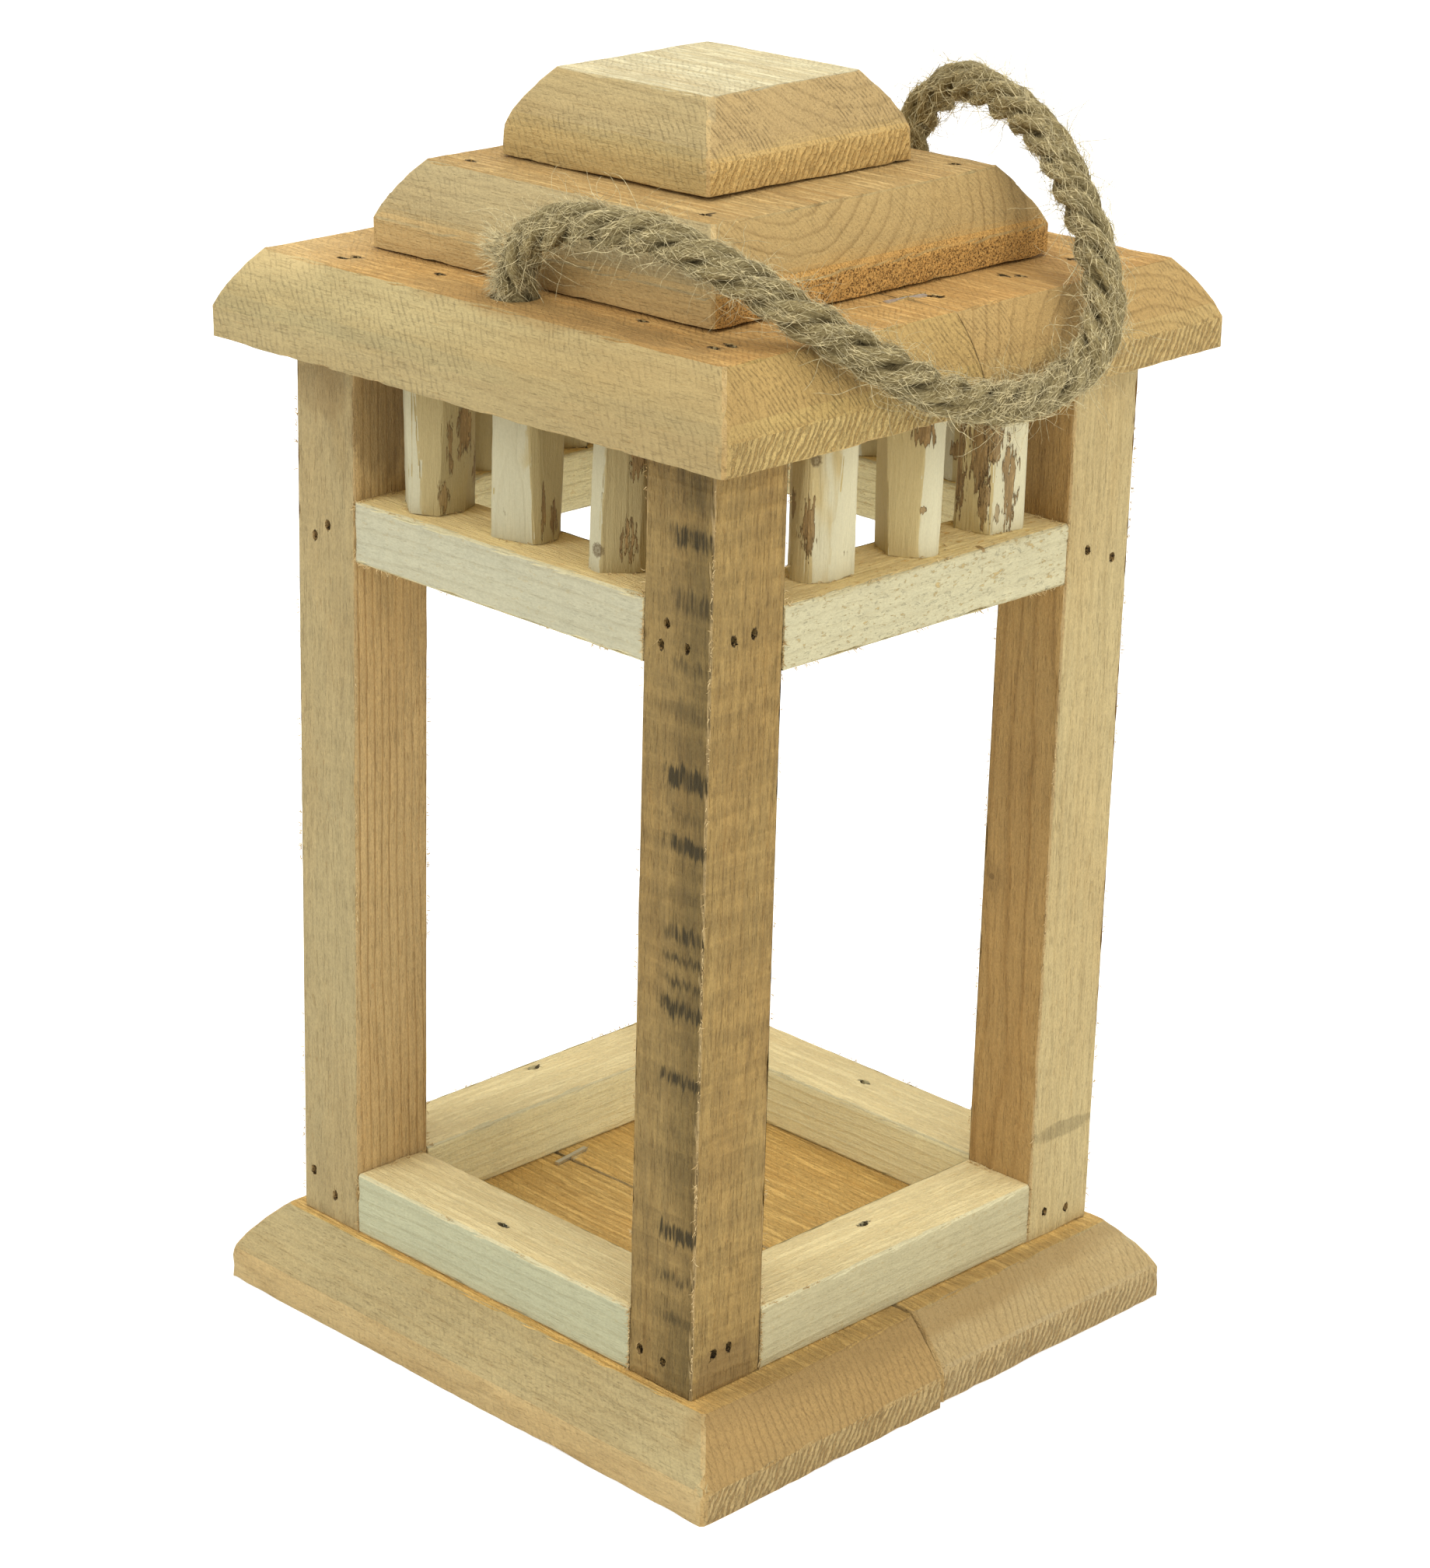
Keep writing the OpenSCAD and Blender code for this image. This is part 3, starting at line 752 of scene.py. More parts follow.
def gridded_copy(node, name, grid, arris, hip, grain_axis, lines, space, seam):
    """A worn copy of a frame node: its triangles are merged into flat faces, its long
    edges are eased and its faces are cut into a grid that can be shaped. The hips are
    the edges that rise, and they may be rounder than the rest. Edges at a seam, given by
    its y, stay sharp."""
    piece = new_piece(name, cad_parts[node].data.copy())
    piece.data.materials.clear()
    activate(piece)
    bpy.ops.object.mode_set(mode="EDIT")
    bpy.ops.mesh.select_all(action="SELECT")
    bpy.ops.mesh.remove_doubles(threshold=MERGE)
    bpy.ops.mesh.customdata_custom_splitnormals_clear()
    bpy.ops.mesh.dissolve_limited(angle_limit=math.radians(0.6))
    bpy.ops.object.mode_set(mode="OBJECT")
    tear_holes(piece, lines, grain_axis)
    back = space.inverted()

    def free(edge):
        """Whether an edge is clear of the seam."""
        return seam is None or any(
            abs((back @ v.co).y - seam) > 0.6 * MM for v in edge.verts)

    if hip:
        ease_edges(piece, hip, 3, lambda edge, rise: rise > 0.3 and free(edge))
        ease_edges(piece, arris, 2, lambda edge, rise: rise < 0.15 and free(edge))
    else:
        ease_edges(piece, arris, 2, lambda edge, rise: True)
    cut_grid(piece, grid, space)
    return piece


def ease_edges(piece, width, segments, chosen, shortest=3 * MM, least_turn=20):
    """Bevels the long sharp edges of a piece that are chosen by their rise per length."""
    bpy.ops.object.mode_set(mode="EDIT")
    shell = bmesh.from_edit_mesh(piece.data)
    for edge in shell.edges:
        sharp = len(edge.link_faces) == 2 and edge.calc_face_angle() > math.radians(least_turn)
        long = max(edge.calc_length(), 1e-9)
        rise = abs(edge.verts[0].co.z - edge.verts[1].co.z) / long
        edge.select_set(sharp and long > shortest and chosen(edge, rise))
    shell.select_flush(True)
    bmesh.update_edit_mesh(piece.data)
    bpy.ops.mesh.bevel(offset=width, segments=segments, profile=0.6, affect="EDGES")
    bpy.ops.mesh.select_all(action="SELECT")
    bpy.ops.mesh.remove_doubles(threshold=MERGE)
    bpy.ops.object.mode_set(mode="OBJECT")


def roof_space():
    """The leaning frame of the roof, in which its boards lie square."""
    foot = Matrix.Translation((0, 0, ROOF_LEVEL))
    lean = Matrix.Rotation(math.radians(ROOF_LEAN), 4, Vector((1, -1, 0)))
    return foot @ lean @ foot.inverted()


def cut_grid(piece, grid, space):
    """Cuts a piece by evenly spaced planes square to the axes of a frame."""
    back = space.inverted()
    inside = [back @ v.co for v in piece.data.vertices]
    turn = space.to_3x3()
    bpy.ops.object.mode_set(mode="EDIT")
    for axis in range(3):
        low = min(v[axis] for v in inside)
        span = max(v[axis] for v in inside) - low
        count = max(1, round(span / grid))
        square = Vector((0, 0, 0))
        square[axis] = 1
        for i in range(1, count):
            point = space @ (square * (low + span * i / count))
            bpy.ops.mesh.select_all(action="SELECT")
            bpy.ops.mesh.bisect(plane_co=point, plane_no=turn @ square)
    bpy.ops.object.mode_set(mode="OBJECT")


def lift_rim(piece, space, lift=0.85 * MM, width=2.6 * MM, underside=1.0 * MM):
    """Raises the outer rim of a board's underside, which casts a dark line at the joint."""
    back = space.inverted()
    shell = bmesh.new()
    shell.from_mesh(piece.data)
    inside = {v: back @ v.co for v in shell.verts}
    low = [min(v[i] for v in inside.values()) for i in range(3)]
    high = [max(v[i] for v in inside.values()) for i in range(3)]
    for vert, at in inside.items():
        if at.z - low[2] > underside:
            continue
        edge = min(at.x - low[0], high[0] - at.x, at.y - low[1], high[1] - at.y)
        if edge < width:
            uneven = 0.75 + 0.5 * noise.noise(vert.co * 60)
            vert.co.z += lift * uneven * (1 - edge / width)
    shell.to_mesh(piece.data)
    shell.free()


def weather(piece, waviness, chip, seed):
    """Lets the faces stray a little from flat, but not into the floor, and chips the
    edges."""
    floor = FRAME_BOX[0].z
    shell = bmesh.new()
    shell.from_mesh(piece.data)
    shell.normal_update()
    offset = Vector((seed * 0.37, seed * 0.71, seed * 0.13))
    moves = []
    for vert in shell.verts:
        normals = [f.normal for f in vert.link_faces]
        corner = max((a.angle(b, 0.0) for a in normals for b in normals), default=0.0)
        slow = noise.noise(vert.co * 45 + offset)
        fast = noise.noise(vert.co * 190 + offset)
        move = vert.normal * waviness * (0.75 * slow + 0.35 * fast)
        if corner > math.radians(12):
            bite = max(0.0, noise.noise(vert.co * 230 + offset) - 0.05)
            nick = max(0.0, noise.noise(vert.co * 700 - offset) - 0.2)
            move -= vert.normal * chip * (1.6 * bite + 0.9 * nick)
        moves.append(move)
    for vert, move in zip(shell.verts, moves):
        vert.co += move
        vert.co.z = max(vert.co.z, floor)
    shell.to_mesh(piece.data)
    shell.free()


def finish_piece(piece, material, node, smooth):
    """Gives a piece its material and its body, and hides the node that it stands for."""
    activate(piece)
    bpy.ops.object.shade_smooth_by_angle(angle=math.radians(smooth))
    piece.data.materials.clear()
    piece.data.materials.append(material)
    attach(piece, "lantern")
    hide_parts(node)
    return piece


def timber(node, grid, arris, waviness, grain, material, seed, lines,
           chip=0.35 * MM, hip=0.0, space=Matrix(), rim=False, smooth=30, seam=None):
    """One worn piece of timber that stands for a frame node."""
    axis = "xyz".index(grain)
    piece = gridded_copy(node, node + "_timber", grid, arris, hip, axis, lines, space, seam)
    if rim:
        lift_rim(piece, space)
    weather(piece, waviness, chip, seed)
    return finish_piece(piece, material, node, smooth)


# ---------------------------------------------------------------- rope

def smooth_line(points, step):
    """A smooth curve through the points, as points that lie evenly one step apart."""
    fine = []
    last = len(points) - 1
    for i in range(last):
        p0 = points[max(i - 1, 0)]
        p1 = points[i]
        p2 = points[i + 1]
        p3 = points[min(i + 2, last)]
        for k in range(24):
            t = k / 24
            fine.append(0.5 * (
                2 * p1 + (p2 - p0) * t + (2 * p0 - 5 * p1 + 4 * p2 - p3) * t * t
                + (3 * p1 - p0 - 3 * p2 + p3) * t ** 3))
    fine.append(points[-1])
    line = [fine[0]]
    carried = 0.0
    for a, b in zip(fine, fine[1:]):
        span = (b - a).length
        while carried + span >= step:
            a = a.lerp(b, (step - carried) / span)
            span = (b - a).length
            carried = 0.0
            line.append(a)
        carried += span
    return line


def line_frames(line):
    """The tangent, normal and binormal at each point, carried along without twist."""
    last = len(line) - 1
    frames = []
    normal = Vector((1, 0, 0))
    for i in range(last + 1):
        tangent = (line[min(i + 1, last)] - line[max(i - 1, 0)]).normalized()
        normal = (normal - tangent * normal.dot(tangent)).normalized()
        frames.append((tangent, normal, tangent.cross(normal)))
    return frames


def yarn_line(line, frames, look, number):
    """The centre line of one yarn, which winds round its strand while the strand winds
    round the rope's own line the other way."""
    strand, yarn = divmod(number, look.yarns)
    back = math.atan(2 * math.pi * look.strand_reach / look.pitch)
    points = []
    for i, (point, (tangent, normal, binormal)) in enumerate(zip(line, frames)):
        along = i * look.ring_step
        wander = 0.16 * noise.noise(Vector((along * 60, strand * 7.3, 0)))
        turn = 2 * math.pi * (strand / look.strands - along / look.pitch) + wander
        outward = normal * math.cos(turn) + binormal * math.sin(turn)
        across = tangent.cross(outward) * math.cos(back) + tangent * math.sin(back)
        loose = 0.30 * noise.noise(Vector((along * 90, number * 4.1, 3)))
        twist = 2 * math.pi * (yarn / look.yarns + along / look.yarn_pitch) + loose
        spread = 1 + 0.12 * noise.noise(Vector((along * 150, number * 2.7, 5)))
        points.append(
            point + outward * look.strand_reach
            + (outward * math.cos(twist) + across * math.sin(twist)) * look.yarn_reach * spread)
    return points


def rope_yarn(shell, uv_layer, crown_layer, line, points, look, number, sides=12):
    """Adds one yarn to the rope: a tube with an uneven skin. Its crown is 0 in the
    valleys between the yarns and 1 on the outside of the rope."""
    last = len(points) - 1
    rings = []
    travelled = 0.0
    for i, point in enumerate(points):
        tangent = (points[min(i + 1, last)] - points[max(i - 1, 0)]).normalized()
        outward = point - line[i]
        outward = (outward - tangent * outward.dot(tangent)).normalized()
        sideways = tangent.cross(outward)
        if i:
            travelled += (point - points[i - 1]).length
        swell = 1 + 0.10 * noise.noise(Vector((travelled * 170, number * 3.1, 2)))
        ring = []
        for k in range(sides):
            angle = 2 * math.pi * k / sides
            offset = outward * math.cos(angle) + sideways * math.sin(angle)
            rough = 1 + 0.13 * noise.noise((point + offset * look.yarn_radius) * 1100)
            vert = shell.verts.new(point + offset * look.yarn_radius * swell * rough)
            height = (vert.co - line[i]).length / (look.diameter / 2)
            vert[crown_layer] = min(1.0, max(0.0, (height - 0.55) / 0.38))
            ring.append(vert)
        rings.append((ring, travelled))
    width = 2 * math.pi * look.yarn_radius / MM
    for (ring, start), (after, end) in zip(rings, rings[1:]):
        for k in range(sides):
            follow = (k + 1) % sides
            face = shell.faces.new((ring[k], ring[follow], after[follow], after[k]))
            corners = ((start, k), (start, k + 1), (end, k + 1), (end, k))
            for loop, (u, v) in zip(face.loops, corners):
                loop[uv_layer].uv = (u / MM + number * 37, v / sides * width)
            face.smooth = True
    shell.faces.new(list(reversed(rings[0][0])))
    shell.faces.new(rings[-1][0])


def add_fibre(shell, root, direction, droop, length, radius, curl, rng, segments=4):
    """One loose fibre: a thin three-sided blade along a curled line."""
    points = [root.copy()]
    heading = direction.normalized()
    for _ in range(segments):
        stray = Vector((rng.uniform(-1, 1), rng.uniform(-1, 1), rng.uniform(-1, 1)))
        heading = (heading + stray * curl + droop).normalized()
        points.append(points[-1] + heading * length / segments)
    side = heading.orthogonal().normalized()
    rings = []
    for i, point in enumerate(points[:-1]):
        thin = radius * (1 - 0.55 * i / segments)
        heading = (points[i + 1] - point).normalized()
        side = (side - heading * side.dot(heading)).normalized()
        other = heading.cross(side)
        rings.append([
            shell.verts.new(point + (side * math.cos(a) + other * math.sin(a)) * thin)
            for a in (0, math.tau / 3, math.tau * 2 / 3)])
    tip = shell.verts.new(points[-1])
    shell.faces.new(list(reversed(rings[0])))
    for ring, after in zip(rings, rings[1:]):
        for k in range(3):
            follow = (k + 1) % 3
            shell.faces.new((ring[k], ring[follow], after[follow], after[k]))
    for k in range(3):
        shell.faces.new((rings[-1][k], rings[-1][(k + 1) % 3], tip))


def rope_finish(look):
    """Jute: twisted fibres, with painted light on the crowns and painted shade between the
    yarns.
    """
    finish = Finish("laid_jute")
    lay = finish.node("ShaderNodeUVMap", {"uv_map": "lay"}, out="UV")
    spot = finish.place()
    crown = finish.node("ShaderNodeAttribute", {"attribute_name": "crown"}, out="Fac")
    twisted = finish.turned(lay, (0, 0, math.radians(24)))
    bend = finish.noise(spot, 0.45, 2) * 1.8
    wavy = finish.node("ShaderNodeVectorMath", {"operation": "ADD"}, {0: twisted, 1: bend})
    bundles = finish.noise(wavy, (0.20, 2.6, 1), 4, 0.72)
    threads = finish.noise(wavy, (0.40, 7.0, 1), 3, 0.65)
    tangle = finish.noise(spot, (1.6, 1.6, 1.6), 4, 0.75)
    weathered = finish.noise(spot, (0.06, 0.06, 0.06), 2)
    light, dark, grey, hair = (
        linear(c) for c in (look.light, look.dark, look.grey, look.hair))
    mixed = bundles * 0.45 + threads * 0.33 + tangle * 0.22
    colour = finish.blend(mixed.rise(0.38, 0.58), dark, light)
    colour = finish.blend(weathered.rise(0.35, 0.7) * 0.6, colour, finish.blend(
        mixed.rise(0.36, 0.60), shaded(dark, 0.95), grey))
    # Bright threads in the loose-fibre colour: partly the fibres' own straw colour, partly
    # painted highlight
    colour = finish.blend(threads.rise(0.57, 0.70) * 0.7, colour, hair)
    # Painted shade in the valleys between the yarns, and painted light on their crowns
    colour = finish.tinted(colour, crown.power(0.6), 0.60, 1.03)
    height = bundles * 1.0 + threads * 0.7 + tangle * 0.5
    return finish.surface(colour, 0.9, height, 0.5 * MM, Specular_IOR_Level=0.12)


def fibre_finish(look):
    """Single fibres, from straw to grey."""
    finish = Finish("loose_jute_fibre")
    spot = finish.place()
    shade = finish.noise(spot, 0.8, 2)
    hair = linear(look.hair)
    colour = finish.blend(shade.rise(0.3, 0.7), shaded(hair, 0.42), hair)
    return finish.surface(colour, 0.7, None, Specular_IOR_Level=0.3)


# ---------------------------------------------------------------- operators

class LANTERN_OT_camera(bpy.types.Operator):
    """Set up the camera"""

    bl_idname = "lantern.camera"
    bl_label = "Camera"

    def execute(self, context):
        look = context.scene.lantern_camera
        data = bpy.data.cameras.new("lantern_camera")
        data.lens = look.lens
        data.sensor_width = 36
        data.clip_end = 50
        camera = bpy.data.objects.new("lantern_camera", data)
        context.scene.collection.objects.link(camera)
        turn = (
            Matrix.Rotation(look.azimuth, 4, "Z")
            @ Matrix.Rotation(math.pi / 2 - look.elevation, 4, "X")
            @ Matrix.Rotation(look.roll, 4, "Z"))
        camera.matrix_world = Matrix.Translation(Vector(look.place)) @ turn
        context.scene.camera = camera
        return {"FINISHED"}


class LANTERN_OT_rope(bpy.types.Operator):
    """Lay the rope handle from its strands"""

    bl_idname = "lantern.rope"
    bl_label = "Rope handle"

    def execute(self, context):
        look = context.scene.lantern_rope
        line = smooth_line([Vector(p) * MM for p in ROPE_ROUTE], look.ring_step)
        frames = line_frames(line)
        yarns = [
            yarn_line(line, frames, look, n) for n in range(look.strands * look.yarns)]
        shell = bmesh.new()
        uv_layer = shell.loops.layers.uv.new("lay")
        crown_layer = shell.verts.layers.float.new("crown")
        for number, points in enumerate(yarns):
            rope_yarn(shell, uv_layer, crown_layer, line, points, look, number)
        rope = shell_piece("jute_rope", shell, rope_finish(look))
        rng = random.Random(11)
        hair = fibre_finish(look)
        fibres = [shell_piece("jute_fibres", self.lying_fibres(look, line, yarns, rng), hair),
                  shell_piece("jute_hairs", self.stray_fibres(look, line, yarns, rng), hair)]
        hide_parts("handle_rope")
        for piece in [rope] + fibres:
            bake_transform(piece)
        return {"FINISHED"}

    def lying_fibres(self, look, line, yarns, rng):
        """The fibres that lie on the yarns."""
        shell = bmesh.new()
        for _ in range(look.lying_fibres):
            self.add_loose_fibre(shell, look, line, yarns, rng, False)
        return shell

    def stray_fibres(self, look, line, yarns, rng):
        """The fibres that stand off the rope, short and long, the frayed ones at the front
        hole, and one that hangs from the rear bend."""
        shell = bmesh.new()
        for _ in range(look.stray_fibres):
            self.add_loose_fibre(shell, look, line, yarns, rng, True)
        for _ in range(look.long_fibres):
            self.add_long_fibre(shell, look, line, yarns, rng)
        for _ in range(look.tuft_fibres):
            self.add_frayed_fibre(shell, look, rng)
        add_fibre(shell, Vector((88, 22, 243)) * MM, Vector((0.1, 0.25, -1)),
                  Vector((0.05, 0.03, -0.05)), 14 * MM, look.fibre_radius * 1.3, 0.28, rng, 9)
        return shell

    @staticmethod
    def free_place(look, line, rng):
        """The number of a point on the rope's line, clear of both buried ends."""
        buried = int(ROPE_BURIED / look.ring_step)
        return rng.randrange(buried, len(line) - buried)

    def add_loose_fibre(self, shell, look, line, yarns, rng, stray):
        """One fibre on the outside of the rope."""
        while True:
            i = self.free_place(look, line, rng)
            yarn = rng.choice(yarns)
            outward = yarn[i] - line[i]
            if outward.length > look.strand_reach:
                break
        tangent = (yarn[i + 1] - yarn[i - 1]).normalized()
        outward = (outward - tangent * outward.dot(tangent)).normalized()
        sideways = tangent.cross(outward)
        angle = rng.gauss(0, 0.6)
        lift = outward * math.cos(angle) + sideways * math.sin(angle)
        twist = sideways * math.cos(angle) - outward * math.sin(angle)
        root = yarn[i] + lift * look.yarn_radius * (0.9 if stray else 1.02)
        lean = rng.choice((-1, 1))
        if stray:
            heading = tangent * lean + twist * rng.gauss(0, 0.8) + lift * rng.uniform(0.2, 1.5)
            length = (2.0 + 10.0 * rng.random() ** 2.2) * MM
            add_fibre(shell, root, heading, -lift * 0.10, length,
                      look.fibre_radius * rng.uniform(0.6, 1.1), 0.42, rng, 6)
        else:
            heading = tangent * lean + twist * rng.gauss(0.2 * lean, 0.5) + lift * 0.15
            length = rng.uniform(2.5, 6.5) * MM
            add_fibre(shell, root, heading, -lift * 0.16, length,
                      look.fibre_radius * rng.uniform(0.8, 1.3), 0.24, rng, 4)

    def add_long_fibre(self, shell, look, line, yarns, rng):
        """One long fibre that stands well off the rope."""
        i = self.free_place(look, line, rng)
        outward = (rng.choice(yarns)[i] - line[i]).normalized()
        tangent = (line[i + 1] - line[i - 1]).normalized() * rng.choice((-1, 1))
        root = line[i] + outward * look.diameter * 0.42
        heading = outward + tangent * rng.uniform(0.3, 1.6)
        droop = -outward * 0.10 - tangent * 0.05
        add_fibre(shell, root, heading, droop, rng.uniform(7, 17) * MM,
                  look.fibre_radius * rng.uniform(1.0, 1.4), 0.30, rng, 9)

    @staticmethod
    def add_frayed_fibre(shell, look, rng):
        """One fibre of the frayed tuft at the front hole. The upper ones stand out to the
        left, and the lower ones hang over the hole's edge."""
        turn = rng.gauss(math.radians(-140), 0.7)
        outward = Vector((math.cos(turn), math.sin(turn), 0))
        level = rng.choice((257.0, 259.0, 264.0, 267.0)) + rng.gauss(0, 1.2)
        upper = level > 262
        root = (Vector((-0.5, -61, level)) + outward * 4.2) * MM
        side = Vector((-0.75, -0.45, 0.25)) if upper else outward * 0.7
        heading = side + Vector((rng.gauss(0, 0.3), rng.gauss(0, 0.3), rng.gauss(0, 0.35)))
        droop = Vector((0, 0, 0.03 if upper else -0.12))
        length = rng.uniform(3, 7.0) if upper else rng.uniform(2, 4.5)
        add_fibre(shell, root, heading, droop, length * MM,
                  look.fibre_radius * 1.2, 0.25, rng, 4)


class LANTERN_OT_roof(bpy.types.Operator):
    """Shape the four boards of the roof"""

    bl_idname = "lantern.roof"
    bl_label = "Roof boards"

    def execute(self, context):
        look = context.scene.lantern_timber
        tone = linear(look.roof)
        # The tone of painted shadow and shade on the boards
        shadow = shaded(warmer(tone), 0.62)
        pale = shaded(tone, 1.35)
        # The tone of two dark slits on the middle board: painted shade of small holes that the
        # mesh does not have
        slit = shaded(warmer(tone), 0.12)
        lines = brad_lines()
        # The tints of the sides are painted light and shade, with some of the wood's own tone
        plank_top = ("top", (1.01, 0.84, 0.61), 0.3)
        # Paler patches towards the left of the boards
        paler_left_patch = dict(tone=pale, ragged=0.8, grit=0.08)
        hole = dict(tone=slit, strength=0.85, ragged=0.5, grit=1.2, soft=0.2)
        boards = {
            "roof_plank_front": dict(
                pith=(0, -170, 275), ring=2.2, tilt=(0.4, 0.6), teeth=1.0, hatch=0.8,
                show=0.25, rough=0.7, streak=0.4,
                sides=(plank_top,
                       ("front_slope", (0.79, 0.85, 0.86), 0.2),
                       ("front", (0.78, 0.84, 0.88), 0.2),
                       ("right_slope", (0.69, 0.69, 0.50), 0.8),
                       ("right", (1.24, 1.39, 1.22), 0.3)),
                # The first stain is the painted shadow of the rope over the board's top, the
                # last painted shade along the right of the front slope
                stains=(dict(centre=(12, -66, 256), radii=(62, 9, 6), tone=shadow,
                             strength=0.45, ragged=1.0, grit=0.1),
                        dict(paler_left_patch, centre=(-80, -68, 256), radii=(34, 22, 9),
                             strength=0.35, soft=0.8),
                        dict(paler_left_patch, centre=(-80, -48, 257), radii=(46, 44, 3.5),
                             strength=0.45, soft=0.9),
                        dict(centre=(66, -78, 246), radii=(70, 14, 20), tone=shadow,
                             strength=0.34, ragged=0.5, grit=0.06, soft=0.9))),
            "roof_plank_rear": dict(
                pith=(0, 52, 212), ring=3.0, tilt=(-0.5, 0.4), teeth=0.8, hatch=0.8,
                show=0.3, rough=0.7, streak=0.4,
                sides=(plank_top,
                       ("right_slope", (0.70, 0.67, 0.57), 0.8),
                       ("right", (1.16, 1.28, 1.26), 0.3))),
            "roof_middle_board": dict(
                pith=(0, -22, 302), ring=3.2, tilt=(1.2, 0.4), teeth=0.6, grit=1.0,
                show=0.4, rough=0.8, streak=0.4,
                sides=(("top", (0.97, 0.91, 0.80), 0.4),
                       ("front_slope", (0.74, 0.79, 0.85), 0.12),
                       ("front", (0.91, 0.86, 0.78), 0.3),
                       ("right_slope", (0.58, 0.63, 0.62), 0.95),
                       ("right", (1.64, 1.10, 0.44), 0.3)),
                stains=(dict(paler_left_patch, centre=(-62, -58, 256), radii=(42, 16, 9),
                             strength=0.30, soft=0.9),
                        dict(hole, centre=(-6.9, -50, 268.5), radii=(0.8, 6.0, 1.6)),
                        dict(hole, centre=(33.7, -38.5, 276), radii=(0.8, 2.2, 1.3)))),
            "roof_top_board": dict(
                pith=(0, 24, 330), ring=4.0, tilt=(-1.0, 0.7), teeth=1.0, hatch=0.6,
                show=0.25, rough=0.6, streak=0.4,
                sides=(("top", (1.21, 1.47, 2.00), 0.3),
                       ("front_slope", (0.76, 0.79, 0.80), 0.2),
                       ("front", (0.87, 0.86, 0.76), 0.2),
                       ("right_slope", (0.71, 0.82, 1.01), 0.4),
                       ("right", (1.78, 1.70, 1.36), 0.2))),
        }
        for seed, (node, cut) in enumerate(boards.items()):
            material = wood_finish(
                node + "_wood", "x", tone=tone, heads=driven_into(node, lines), **cut)
            timber(node, look.board_grid, look.arris, look.waviness, "x", material,
                   seed + 1, lines, hip=look.hip, space=roof_space(),
                   rim="plank" not in node, seam=ROOF_SEAM if "plank" in node else None)
        return {"FINISHED"}


class LANTERN_OT_base(bpy.types.Operator):
    """Shape the two planks of the base"""

    bl_idname = "lantern.base"
    bl_label = "Base planks"

    def execute(self, context):
        look = context.scene.lantern_timber
        tone = linear(look.base)
        lines = brad_lines()
        # Painted shade on the narrow ledge outside the right-hand sill
        ledge_shade = (dict(centre=(71, 0, 18), radii=(7, 95, 9), tone=shaded(warmer(tone), 0.62),
                      strength=0.65, ragged=0.5, grit=0.1, soft=0.5),)
        plank = dict(
            ring=2.4, show=0.4, teeth=0.5, sawn=0.15, hatch=0.8, rough=0.6, wobble=4.0,
            streak=0.38, stains=ledge_shade)
        # The sides' tints are painted light and shade, with some of the wood's own tone; the
        # top's paints light on the floor inside the sills
        top = ("top", (1.42, 1.28, 0.92), 0.5)
        planks = {
            "base_plank_front": dict(
                plank, pith=(0, -330, 20), tilt=(0.5, 0.8),
                sides=(top,
                       ("front_slope", (0.83, 0.90, 0.96), 0.25),
                       ("right_slope", (0.56, 0.50, 0.43), 0.6),
                       ("right", (1.06, 1.20, 1.42), 0.3))),
            "base_plank_rear": dict(
                plank, pith=(0, 360, -40), tilt=(-0.4, 0.9),
                sides=(top,
                       ("right_slope", (0.84, 1.02, 1.32), 0.5),
                       ("right", (1.14, 1.34, 1.75), 0.3))),
        }
        for seed, (node, cut) in enumerate(planks.items()):
            material = wood_finish(
                node + "_wood", "x", tone=tone, heads=driven_into(node, lines), **cut)
            timber(node, look.board_grid, look.arris, look.waviness, "x", material,
                   seed + 11, lines, hip=look.hip)
        return {"FINISHED"}


# The old stains down the near post: the height, half the height and how dark, with
# lengths in millimetres
POST_STAINS = (
    (38, 1.4, 0.35), (48, 1.6, 0.45), (59, 2.2, 0.80), (95.5, 1.8, 0.65), (105, 1.5, 0.20),
    (112, 2.2, 0.95), (118, 1.2, 0.55), (123.5, 1.2, 0.50), (129.5, 2.0, 0.70),
    (138, 2.4, 0.12), (149.5, 2.2, 0.75), (156, 1.6, 0.25), (164.5, 2.8, 1.00),
    (180, 3.0, 0.22), (189, 2.0, 0.40), (203, 3.0, 0.45), (217, 2.6, 0.75), (228, 6.0, 0.30))
# The stretch of the post that they lie in, and how many of them one ramp has room for
STAINED_FROM, STAINED_TO = 20.0, 240.0
STAINS_PER_RAMP = 6


